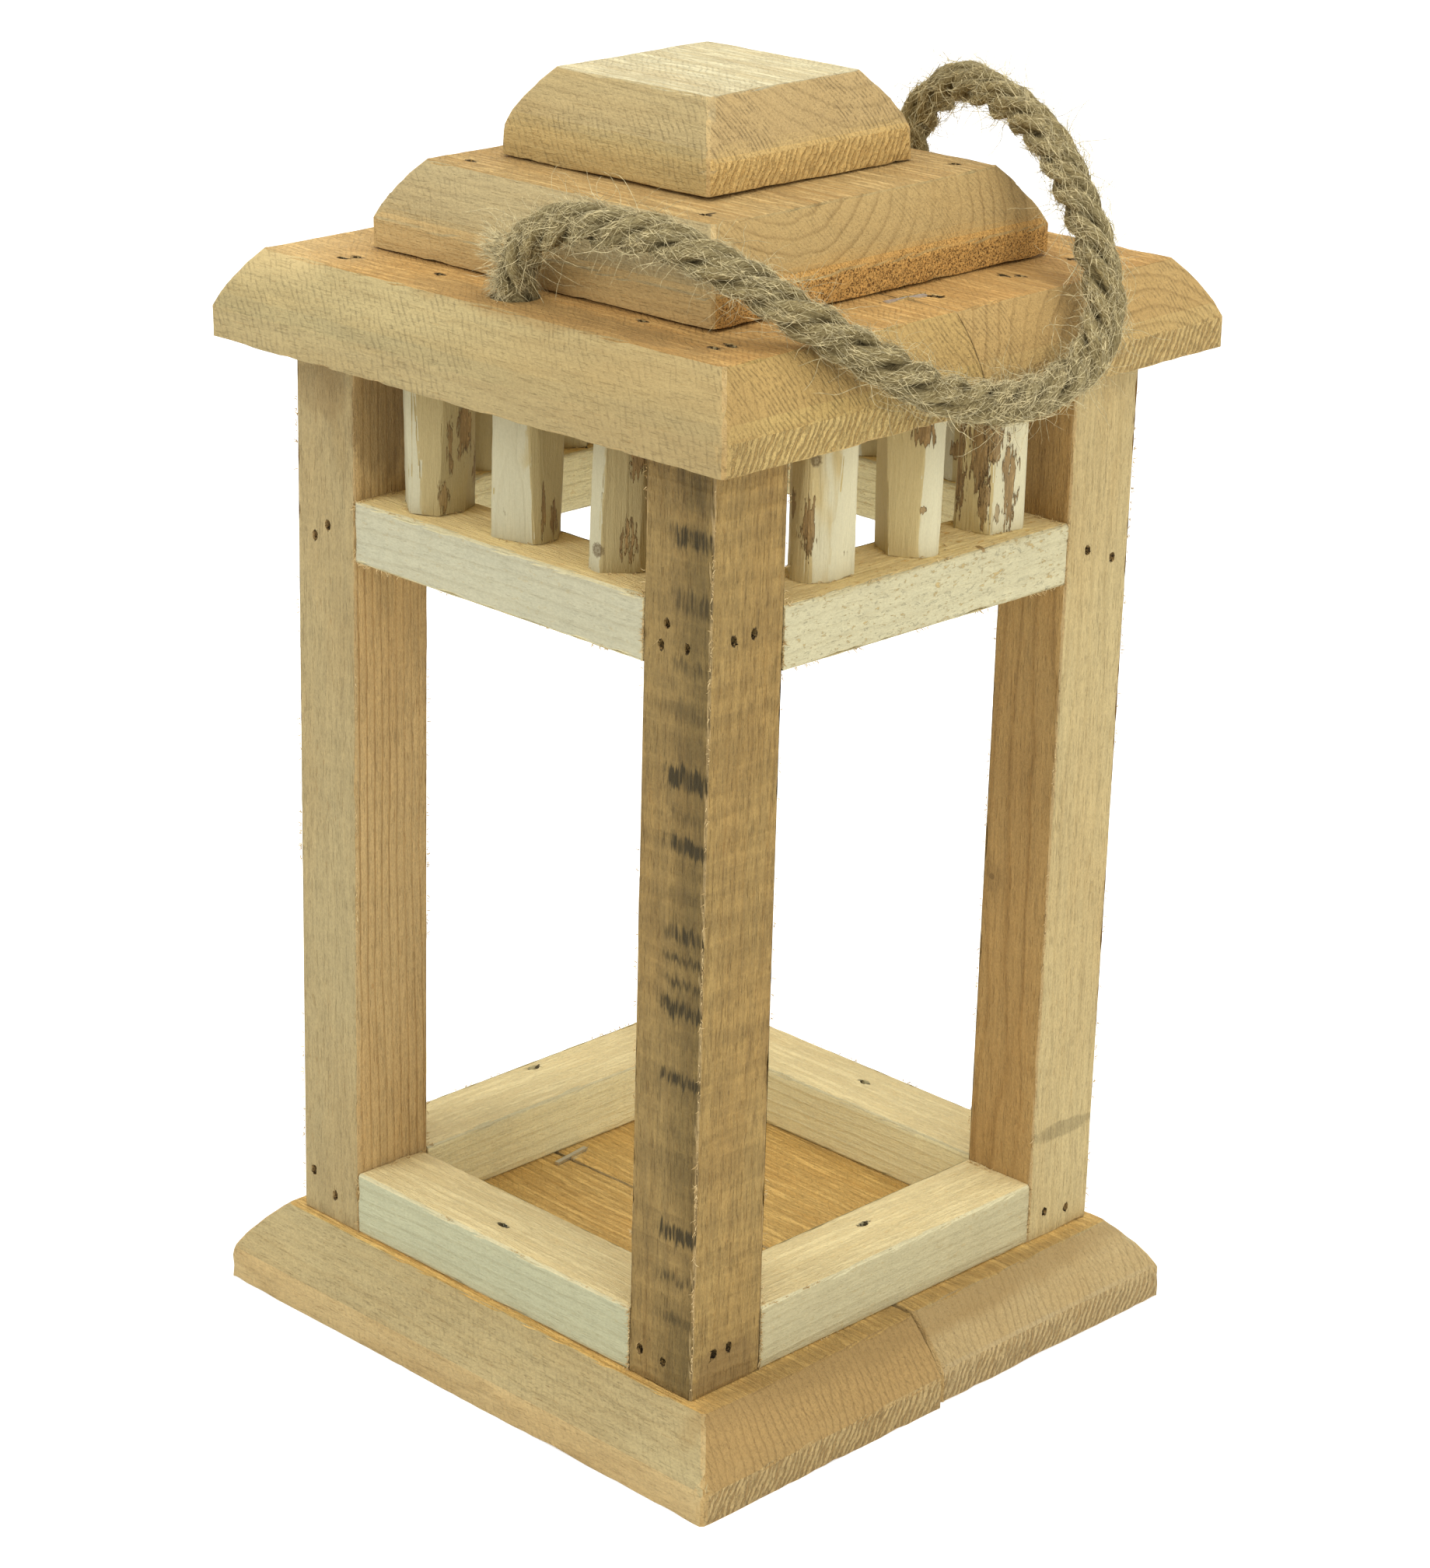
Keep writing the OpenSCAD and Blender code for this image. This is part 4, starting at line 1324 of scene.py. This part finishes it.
def edge_stains(tone):
    """Old grey stains across the front of the near post, one below another along its
    right edge, each with ragged ends that follow the grain."""
    span = STAINED_TO - STAINED_FROM
    rows = []
    for first in range(0, len(POST_STAINS), STAINS_PER_RAMP):
        stops = [(0.0, 0.0)]
        for level, half, dark in POST_STAINS[first:first + STAINS_PER_RAMP]:
            for edge, depth in ((-1.0, 0.0), (-0.5, dark), (0.5, dark), (1.0, 0.0)):
                stops.append(((level + half * edge - STAINED_FROM) / span, depth))
        rows.append(stops)

    def lay(finish, spot, grain, colour, height):
        """Lays the stains on the post, and leaves its relief as it is."""
        x, _, z = finish.parts(spot)
        _, forward, _ = finish.normal_parts()
        front = (forward * -1).rise(0.6, 0.85)
        torn = finish.noise(spot, (1.0, 1.0, 0.05), 3, 0.7) - 0.5
        ragged = finish.noise(spot, (0.8, 0.8, 0.16), 3, 0.65) - 0.5
        level = (z + torn * 8.0 - STAINED_FROM) / span
        lower, middle, upper = (finish.ramp(level, stops) for stops in rows)
        side = x + ragged * 9.0
        near = side.rise(52.5, 57.5) * (1 - side.rise(66.5, 70.0) * 0.6)
        cloud = finish.noise(spot, (0.05, 0.05, 0.035), 2).rise(0.30, 0.55)
        wash = side.rise(52.0, 62.0) * cloud * 0.7
        colour = finish.washed(colour, wash * front, (0.50, 0.50, 0.44))
        streak = finish.noise(spot, (1.8, 1.8, 0.10), 2, 0.6).rise(0.36, 0.6)
        dark = lower.highest(middle).highest(upper) * near
        dark = (dark * 1.8 * (streak * 0.7 + 0.3) * front).lowest(1.0)
        return finish.blend(dark, colour, tone), height

    return lay


class LANTERN_OT_posts(bpy.types.Operator):
    """Shape the four posts"""

    bl_idname = "lantern.posts"
    bl_label = "Posts"

    def execute(self, context):
        look = context.scene.lantern_timber
        tone = linear(look.post)
        lines = brad_lines()
        stain = linear(look.stain)
        # A dark tone for marks on the posts, and for painted shade
        dark_marks_and_shade = shaded(warmer(tone), 0.42)
        # The sides' tints are painted light and shade, with some of the wood's own tone
        posts = {
            "front_left": dict(
                pith=(-52, -300, 0), ring=2.3, tilt=(0.25, 0.5), sawn=0.2,
                show=0.35, wobble=2.0, dashes=0.5,
                sides=(("right", (1.10, 1.08, 1.04), 1.0),
                       ("front", (0.85, 0.94, 1.01), 0.8)),
                stains=(
                    # Painted shade under the roof, at the top of the post
                    dict(centre=(-57, -68, 226), radii=(11, 3, 9), tone=dark_marks_and_shade,
                         strength=0.30, stretch=(0.5, 1, 0.25)),
                    dict(centre=(-46, -60, 222), radii=(3, 12, 20), tone=dark_marks_and_shade,
                         strength=0.55, stretch=(1, 0.5, 0.2)))),
            "front_right": dict(
                pith=(80, -110, 0), ring=3.2, tilt=(0.5, -0.6), sawn=1.0, streak=0.7,
                show=0.3, torn=0.2,
                sides=(("front", (0.59, 0.56, 0.43), 0.3),
                       ("right", (0.74, 0.69, 0.52), 0.3)),
                stains=(dict(centre=(66, -57, 24), radii=(3, 12, 9), tone=dark_marks_and_shade,
                             strength=0.55),),
                extra=edge_stains(stain)),
            "rear_left": dict(
                pith=(-80, 90, 0), ring=3.4, tilt=(-0.4, 0.5), sawn=0.4, show=0.35),
            "rear_right": dict(
                pith=(20, 100, 0), ring=3.6, tilt=(0.8, 0.5), sawn=0.15,
                show=0.35, wobble=6.0,
                sides=(("front", (0.84, 0.75, 0.59), 0.6),
                       ("right", (1.10, 1.21, 1.27), 0.3)),
                stains=(
                    dict(centre=(49, 46, 109.5), radii=(1.0, 2, 1.0), tone=dark_marks_and_shade,
                         strength=0.95, ragged=0.4),
                    dict(centre=(50, 46, 109), radii=(3.0, 2, 5.0), tone=dark_marks_and_shade,
                         strength=0.30, ragged=0.6),
                    dict(centre=(66, 57, 47), radii=(3, 14, 2.6), tone=stain,
                         strength=0.30, stretch=(1, 0.4, 1)))),
        }
        for seed, (corner, cut) in enumerate(posts.items()):
            node = "post_" + corner
            material = wood_finish(
                node + "_wood", "z", tone=tone, heads=driven_into(node, lines), **cut)
            timber(node, look.post_grid, look.arris * 0.8, look.waviness, "z", material,
                   seed + 21, lines)
        return {"FINISHED"}


class LANTERN_OT_rails(bpy.types.Operator):
    """Shape the sill rails and the upper rails"""

    bl_idname = "lantern.rails"
    bl_label = "Rails"

    # How woolly the saw has left each rail
    torn = dict(
        sill_rail_front=0.15, sill_rail_right=0.3, sill_rail_rear=0.2, sill_rail_left=0.2,
        upper_rail_front=0.3, upper_rail_right=0.9, upper_rail_rear=0.5, upper_rail_left=0.5)
    # Tints of the outer faces: painted light and shade, with some of the wood's own tone
    outer = dict(
        sill_rail_front=(0.72, 0.79, 0.84), sill_rail_right=(0.76, 0.74, 0.71),
        upper_rail_front=(0.75, 0.79, 0.90), upper_rail_right=(0.90, 0.91, 0.94))
    # The tint of the other outer faces, and of the faces towards the inside; both are painted
    # light and shade, and the inside is painted lighter
    plain = (0.95, 0.95, 0.95)
    inner = (1.20, 1.19, 1.13)
    # The tint of the tops at each level: painted light from above
    tops = {"sill_rail_": (1.26, 1.17, 1.04), "upper_rail_": (1.42, 1.28, 1.05)}
    # A resin spot with its trace, and a short scribed line
    resin = (0.30, 0.17, 0.05, 1.0)
    marks = dict(
        upper_rail_right=(
            dict(centre=(64.5, 17.2, 199.0), radii=(2, 1.5, 0.9), tone=resin,
                 strength=0.8, ragged=1.6, grit=1.2, soft=0.2),
            dict(centre=(64.5, 16.8, 194.5), radii=(2, 0.6, 4.0), tone=resin,
                 strength=0.3, ragged=1.2, grit=0.9)),
        upper_rail_front=(
            dict(centre=(-37.5, -64.5, 187.8), radii=(0.30, 2, 2.4), tone=(0.1, 0.1, 0.1, 1.0),
                 strength=0.7, ragged=0.1),))

    def execute(self, context):
        look = context.scene.lantern_timber
        tone = linear(look.rail)
        lines = brad_lines()
        seed = 31
        for level in ("sill_rail_", "upper_rail_"):
            for side in SIDES:
                node = level + side
                low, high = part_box(node)
                along = "x" if side in ("front", "rear") else "y"
                middle = (low + high) / 2 / MM
                pith = (middle.x + 30 - seed, middle.y - 40 + seed, middle.z - 45)
                material = wood_finish(
                    node + "_wood", along, pith, tone, ring=3.4, show=0.25, sawn=0.15,
                    streak=0.2, fuzz=0.35, warm=0.15, tilt=(0.6, 0.6), dashes=0.12,
                    torn=self.torn[node], rough=0.35, heads=driven_into(node, lines),
                    stains=self.marks.get(node, ()),
                    sides=(("top", self.tops[level], 0.25),
                           (side, self.outer.get(node, self.plain), 0.2),
                           (OPPOSITE[side], self.inner, 0.25)))
                timber(node, look.post_grid, look.arris * 0.8, look.waviness, along,
                       material, seed, lines)
                seed += 1
        return {"FINISHED"}


def barked(patches, bark, tan_facing_way, knots):
    """Paints the cuts of the knife cream or tan by the way they face, as painted light and
    shade, and lays remains of bark on a stick: raised patches with a rusty edge, streaked
    along the stick."""
    def lay(finish, spot, grain, colour, height):
        """Lays the cuts, the bark and the knots on the stick."""
        normal = finish.node("ShaderNodeNewGeometry", out="Normal")
        uneven = finish.noise(spot, (0.25, 0.25, 0.05), 2) - 0.5
        # Facets facing the given way are painted tan and the rest cream: painted light and
        # shade
        cut = (finish.along(normal, tan_facing_way) + uneven * 0.4).rise(0.47, 0.57)
        cream = finish.washed(colour, 1.0, (1.04, 1.08, 1.16))
        tan = finish.washed(colour, 1.0, (0.91, 0.82, 0.64))
        colour = finish.blend(cut, cream, tan)
        streaks = finish.noise(grain, (0.10, 1.5, 1.5), 3, 0.65)
        flakes = finish.noise(spot, (1.8, 1.8, 0.9), 3, 0.7)
        skin = finish.blend(streaks.rise(0.36, 0.64), shaded(bark, 0.50), shaded(bark, 1.35))
        skin = finish.blend(flakes.rise(0.35, 0.65), skin, shaded(bark, 0.85))
        rust = (bark[0] * 1.15, bark[1] * 0.85, bark[2] * 0.5, 1.0)
        for centre, radii, strength in patches:
            colour, mask = stained(
                finish, colour, spot, centre, radii, skin, strength, ragged=2.4, grit=1.5,
                stretch=(1, 1, 0.16), soft=0.16)
            colour = finish.blend(mask * (1 - mask) * 1.8, colour, rust)
            height = height + mask * (1.4 * strength)
        for centre, size in knots:
            ripple = finish.noise(spot, 1.5, 3, 0.65) - 0.5
            away = finish.distance(finish.offset(spot, centre)) / size + ripple * 1.1
            rings = finish.ramp(
                away, ((0.0, 0.9), (0.3, 0.5), (0.6, 0.85), (0.85, 0.4), (1.2, 0.0)))
            colour = finish.blend(rings, colour, shaded(bark, 0.36))
        return colour, height

    return lay


def skin_point(node, angle, level):
    """A point of a stick's skin in millimetres, from the direction round the stick in
    degrees and the height above its rail."""
    low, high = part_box(node)
    middle = (low + high) / 2 / MM
    radius = (high.x - low.x + high.y - low.y) / 4 / MM
    turn = math.radians(angle)
    return (middle.x + radius * math.cos(turn), middle.y + radius * math.sin(turn),
            low.z / MM + level)


class LANTERN_OT_sticks(bpy.types.Operator):
    """Whittle the branch sticks"""

    bl_idname = "lantern.sticks"
    bl_label = "Branch sticks"

    # Remains of bark and knots: the direction round the stick in degrees from +X, the
    # height above the rail, half the width and half the height of the patch, and how
    # much of it is left. Lengths are in millimetres.
    bark = {
        "stick_front_1": (
            (-16, 16, 0.9, 9, 0.9), (14, 19, 2.4, 8, 0.95), (-28, 4, 1.6, 4, 0.7),
            (60, 10, 3, 10, 0.8), (170, 20, 2, 8, 0.8)),
        "stick_front_2": (
            (-86, 6, 1.1, 3.2, 0.7), (-16, 7.5, 0.8, 6.5, 0.9), (8, 5, 1.4, 4, 1.0),
            (120, 18, 3, 9, 0.8)),
        "stick_front_3": (
            (-18, 26, 2.2, 6, 0.95), (-30, 6.5, 2.2, 6.5, 0.9),
            (-60, 1.5, 1.0, 1.6, 0.8), (150, 15, 3, 10, 0.8)),
        "stick_right_1": (
            (-85, 30, 1.0, 1.2, 1.0), (-63, 12.5, 1.7, 7.5, 0.95),
            (-99, 17, 1.4, 3.5, 0.8), (0, 33, 3.2, 2.6, 0.9), (14, 6, 1.0, 3.6, 0.9),
            (140, 20, 3, 9, 0.8)),
        "stick_right_2": (
            (-34, 28, 3.4, 3.4, 1.0), (-52, 17, 0.5, 0.5, 1.0), (-44, 17, 0.4, 0.4, 0.8),
            (-31, 11, 0.9, 1.0, 0.9), (35, 22, 1.4, 7, 0.8), (170, 12, 3, 9, 0.8)),
        "stick_right_3": (
            (-112, 18, 2.6, 17, 1.0), (-62, 21, 3.0, 13, 1.0), (-40, 23, 2.4, 9, 0.95),
            (-54, 8, 1.6, 7, 0.9), (-4, 11, 2.4, 12, 0.95), (-30, 5, 1.0, 2.4, 0.7),
            (100, 16, 4, 14, 0.9)),
    }

    # Knots: the direction, the height and the radius
    knots = {"stick_front_3": ((-88, 5, 1.8),), "stick_right_1": ((-54, 27, 1.5),)}

    def execute(self, context):
        look = context.scene.lantern_timber
        tone = linear(look.stick)
        lines = brad_lines()
        rng = random.Random(7)
        seed = 51
        for side in SIDES:
            # Painted light and shade: the way whose facets are painted tan, and lit, which
            # paints the front sticks darker
            tan_facing_way = (0.0, -1.0, 0.0) if side == "right" else (1.4, 0.0, 0.0)
            lit = 1.04 if side == "right" else 0.80
            for number in range(1, STICKS_PER_SIDE + 1):
                node = "stick_%s_%d" % (side, number)
                chosen = self.bark.get(node) or [
                    (rng.uniform(-180, 180), rng.uniform(4, 30), rng.uniform(1, 3),
                     rng.uniform(2, 10), 0.9) for _ in range(4)]
                patches = [
                    (skin_point(node, angle, level), (wide, wide, tall), left)
                    for angle, level, wide, tall, left in chosen]
                knots = [
                    (skin_point(node, angle, level), size)
                    for angle, level, size in self.knots.get(node, ())]
                low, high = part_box(node)
                pith = tuple((low + high) / 2 / MM)
                material = wood_finish(
                    node + "_wood", "z", pith, shaded(tone, lit), ring=1.6,
                    show=0.05, warm=0.08, streak=0.10, fuzz=0.18, dashes=0.06,
                    extra=barked(patches, linear(look.bark), tan_facing_way, knots))
                timber(node, look.stick_grid, look.arris * 0.5, look.waviness, "z",
                       material, seed, lines, chip=0.25 * MM, smooth=11)
                seed += 1
        return {"FINISHED"}


def splinter_finish(look):
    """Torn fibres of wood, from tan to straw."""
    finish = Finish("torn_fibres")
    tone = linear(look.splinter)
    shade = finish.noise(finish.place(), 0.9, 2)
    colour = finish.blend(shade.rise(0.3, 0.7), shaded(warmer(tone), 0.6), tone)
    return finish.surface(colour, 0.8)


def post_edges(node, nearest):
    """The four upright edges of a post. The nearest post has one that is torn more."""
    low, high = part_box(node)
    for x, y in ((low.x, low.y), (high.x, low.y), (low.x, high.y), (high.x, high.y)):
        way = Vector((x - (low.x + high.x) / 2, y - (low.y + high.y) / 2, 0))
        near = nearest and x == high.x and y == low.y
        yield (Vector((x, y, low.z)), Vector((x, y, high.z - 3 * MM)), way.normalized(),
               0.9 if near else 0.5, 1.2 if near else 0.9)


def rail_edges(node, face, torn):
    """The edges of a rail's outer face, and the two ends of its top."""
    up = Vector((0, 0, 1))
    along = Vector((-face.y, face.x, 0))
    low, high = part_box(node)
    middle = (low + high) / 2
    half = (high - low) / 2
    out = face * abs(half.dot(face))
    reach = along * abs(half.dot(along))
    rise = up * half.z
    front = middle + out
    for sign in (-1, 1):
        corner = front + reach * sign
        yield corner - rise, corner + rise, face, 2.4, 1.1
    yield front - reach - rise, front + reach - rise, (face - up).normalized(), torn, 1.0
    yield front - reach + rise, front + reach + rise, (face + up).normalized(), 0.3, 0.8
    inner = reach - along * 1.5 * MM
    for sign in (-1, 1):
        top = middle + inner * sign + rise
        yield top - out, top + out, up, 1.5, 1.2


def stick_foot(node):
    """The rim round the foot of a stick, as twelve short edges."""
    low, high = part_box(node)
    foot = Vector(((low.x + high.x) / 2, (low.y + high.y) / 2, low.z + 0.3 * MM))
    radius = (high.x - low.x + high.y - low.y) / 4
    rim = [foot + Vector((math.cos(a), math.sin(a), 0)) * radius
           for a in (math.radians(30 * k) for k in range(13))]
    for a, b in zip(rim, rim[1:]):
        way = (a + b) / 2 - foot - Vector((0, 0, radius * 0.6))
        yield a, b, way.normalized(), 0.9, 0.9


def torn_edges():
    """Each torn edge: its two ends, the way its fibres stand, their share and size."""
    for name in POSTS:
        yield from post_edges("post_" + name, name == "front_right")
    for side in SIDES:
        yield from rail_edges("sill_rail_" + side, Vector(WAYS[side]), 0.12)
        yield from rail_edges("upper_rail_" + side, Vector(WAYS[side]), 0.56)
        for number in range(1, STICKS_PER_SIDE + 1):
            yield from stick_foot("stick_%s_%d" % (side, number))


class LANTERN_OT_splinters(bpy.types.Operator):
    """Raise the torn fibres along the sawn edges"""

    bl_idname = "lantern.splinters"
    bl_label = "Splinters"

    def execute(self, context):
        look = context.scene.lantern_timber
        rng = random.Random(23)
        shell = bmesh.new()
        for start, end, outward, share, size in torn_edges():
            count = round((end - start).length / MM * look.splinters * share)
            clumps = [rng.random() for _ in range(count // 7 + 2)]
            for _ in range(count):
                place = min(max(rng.choice(clumps) + rng.gauss(0, 0.02), 0.0), 1.0)
                root = start.lerp(end, place) - outward * 0.25 * MM
                along = (end - start).normalized() * rng.gauss(0, 0.9)
                aside = Vector((rng.gauss(0, 0.3), rng.gauss(0, 0.3), rng.gauss(0, 0.3)))
                add_fibre(shell, root, outward + along + aside, Vector((0, 0, 0)),
                          rng.uniform(0.5, 1.5) * size * MM, rng.uniform(0.08, 0.15) * MM,
                          0.45, rng, 3)
        piece = shell_piece("splinters", shell, splinter_finish(look))
        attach(piece, "lantern")
        return {"FINISHED"}


def steel_finish():
    """Zinc-coated steel wire, a little dull."""
    finish = Finish("zinc_wire")
    spot = finish.place()
    cloud = finish.noise(spot, 1.4, 3, 0.6)
    fine = finish.noise(spot, 9, 2, 0.6)
    colour = finish.blend(cloud, (0.50, 0.51, 0.53, 1), (0.80, 0.81, 0.83, 1))
    return finish.surface(
        colour, cloud * 0.2 + 0.28, fine, 0.02 * MM, Metallic=1.0)


class LANTERN_OT_fasteners(bpy.types.Operator):
    """Give the brads and the staples their bright zinc"""

    bl_idname = "lantern.fasteners"
    bl_label = "Brads and staples"

    def execute(self, context):
        zinc = steel_finish()
        for name in ("post_brads", "base_brads", "sill_brads", "roof_brads",
                     "top_board_brads", "seam_staples"):
            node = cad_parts[name]
            for slot in node.material_slots:
                slot.material = zinc
        return {"FINISHED"}


class LANTERN_OT_stage(bpy.types.Operator):
    """Set up the floor and the light"""

    bl_idname = "lantern.stage"
    bl_label = "Stage"

    def execute(self, context):
        look = context.scene.lantern_stage
        scene = context.scene
        bpy.ops.object.select_all(action="DESELECT")
        bpy.ops.mesh.primitive_plane_add(size=look.floor_size, location=(0, 0, 0))
        floor = context.object
        floor.name = "stage_floor"
        floor.data.materials.append(self.floor_finish(look))
        scene.world = self.sky(look)
        # Each lamp: its place, the side of its square and its power
        self.soft_light("key_light", (-0.9, -1.9, 1.5), 1.0, look.key)
        self.soft_light("fill_light", (2.1, -0.5, 1.3), 1.0, look.fill)
        self.soft_light("top_light", (0.1, 0.3, 2.2), 1.4, look.top)
        scene.view_settings.view_transform = "Standard"
        return {"FINISHED"}

    @staticmethod
    def floor_finish(look):
        """A pale floor that the camera sees as white but for the lantern's shadow."""
        finish = Finish("pale_floor")
        seen = finish.node("ShaderNodeLightPath", out="Is Camera Ray")
        plain = finish.node(
            "ShaderNodeBsdfDiffuse", None, {"Color": linear(look.floor)})
        glow = finish.node("ShaderNodeEmission", None, {"Strength": 0.45})
        lit = finish.node("ShaderNodeAddShader", None, {0: plain, 1: glow})
        both = finish.node("ShaderNodeMixShader", None, {0: seen, 1: plain, 2: lit})
        return finish.closed(both)

    @staticmethod
    def sky(look):
        """Even light from all round, which the camera and reflections see as plain white."""
        finish = Finish("white_sky", "worlds")
        camera, mirrored, through = (
            finish.node("ShaderNodeLightPath", out=ray)
            for ray in ("Is Camera Ray", "Is Glossy Ray", "Is Transmission Ray"))
        soft = finish.node(
            "ShaderNodeBackground", None,
            {"Color": (1.0, 0.995, 0.98, 1), "Strength": look.sky})
        white = finish.node(
            "ShaderNodeBackground", None, {"Color": (1, 1, 1, 1), "Strength": 1.0})
        seen = camera.highest(mirrored.highest(through))
        both = finish.node("ShaderNodeMixShader", None, {0: seen, 1: soft, 2: white})
        return finish.closed(both, "ShaderNodeOutputWorld")

    @staticmethod
    def soft_light(name, place, size, power, middle=(0, 0, 0.15)):
        """A large square lamp that points at the middle of the lantern."""
        data = bpy.data.lights.new(name, "AREA")
        data.size = size
        data.energy = power
        lamp = bpy.data.objects.new(name, data)
        bpy.context.scene.collection.objects.link(lamp)
        lamp.location = place
        aim = Vector(middle) - Vector(place)
        lamp.rotation_mode = "QUATERNION"
        lamp.rotation_quaternion = aim.to_track_quat("-Z", "Y")


OPERATORS = (
    LANTERN_OT_camera,
    LANTERN_OT_rope,
    LANTERN_OT_roof,
    LANTERN_OT_base,
    LANTERN_OT_posts,
    LANTERN_OT_rails,
    LANTERN_OT_sticks,
    LANTERN_OT_splinters,
    LANTERN_OT_fasteners,
    LANTERN_OT_stage,
)
LOOKS = {
    "lantern_camera": LanternCameraLook,
    "lantern_rope": LanternRopeLook,
    "lantern_timber": LanternTimberLook,
    "lantern_stage": LanternStageLook,
}


class LANTERN_PT_panel(bpy.types.Panel):
    """The lantern's pieces, in the order in which they are made"""

    bl_label = "Candle lantern"
    bl_idname = "LANTERN_PT_panel"
    bl_space_type = "VIEW_3D"
    bl_region_type = "UI"
    bl_category = "Lantern"

    def draw(self, context):
        layout = self.layout
        for look in LOOKS:
            box = layout.box()
            group = getattr(context.scene, look)
            for name in group.bl_rna.properties.keys():
                if name not in ("rna_type", "name"):
                    box.prop(group, name)
        for operator in OPERATORS:
            layout.operator(operator.bl_idname)


def register():
    """Makes the lantern's settings, pieces and panel known to Blender."""
    for name, group in LOOKS.items():
        bpy.utils.register_class(group)
        setattr(bpy.types.Scene, name, bpy.props.PointerProperty(type=group))
    for operator in OPERATORS:
        bpy.utils.register_class(operator)
    bpy.utils.register_class(LANTERN_PT_panel)


def unregister():
    """Takes them away again."""
    bpy.utils.unregister_class(LANTERN_PT_panel)
    for operator in reversed(OPERATORS):
        bpy.utils.unregister_class(operator)
    for name, group in LOOKS.items():
        delattr(bpy.types.Scene, name)
        bpy.utils.unregister_class(group)


def main():
    """Makes every piece in order."""
    register()
    for operator in OPERATORS:
        group, name = operator.bl_idname.split(".")
        getattr(getattr(bpy.ops, group), name)()


if __name__ == "__main__":
    main()
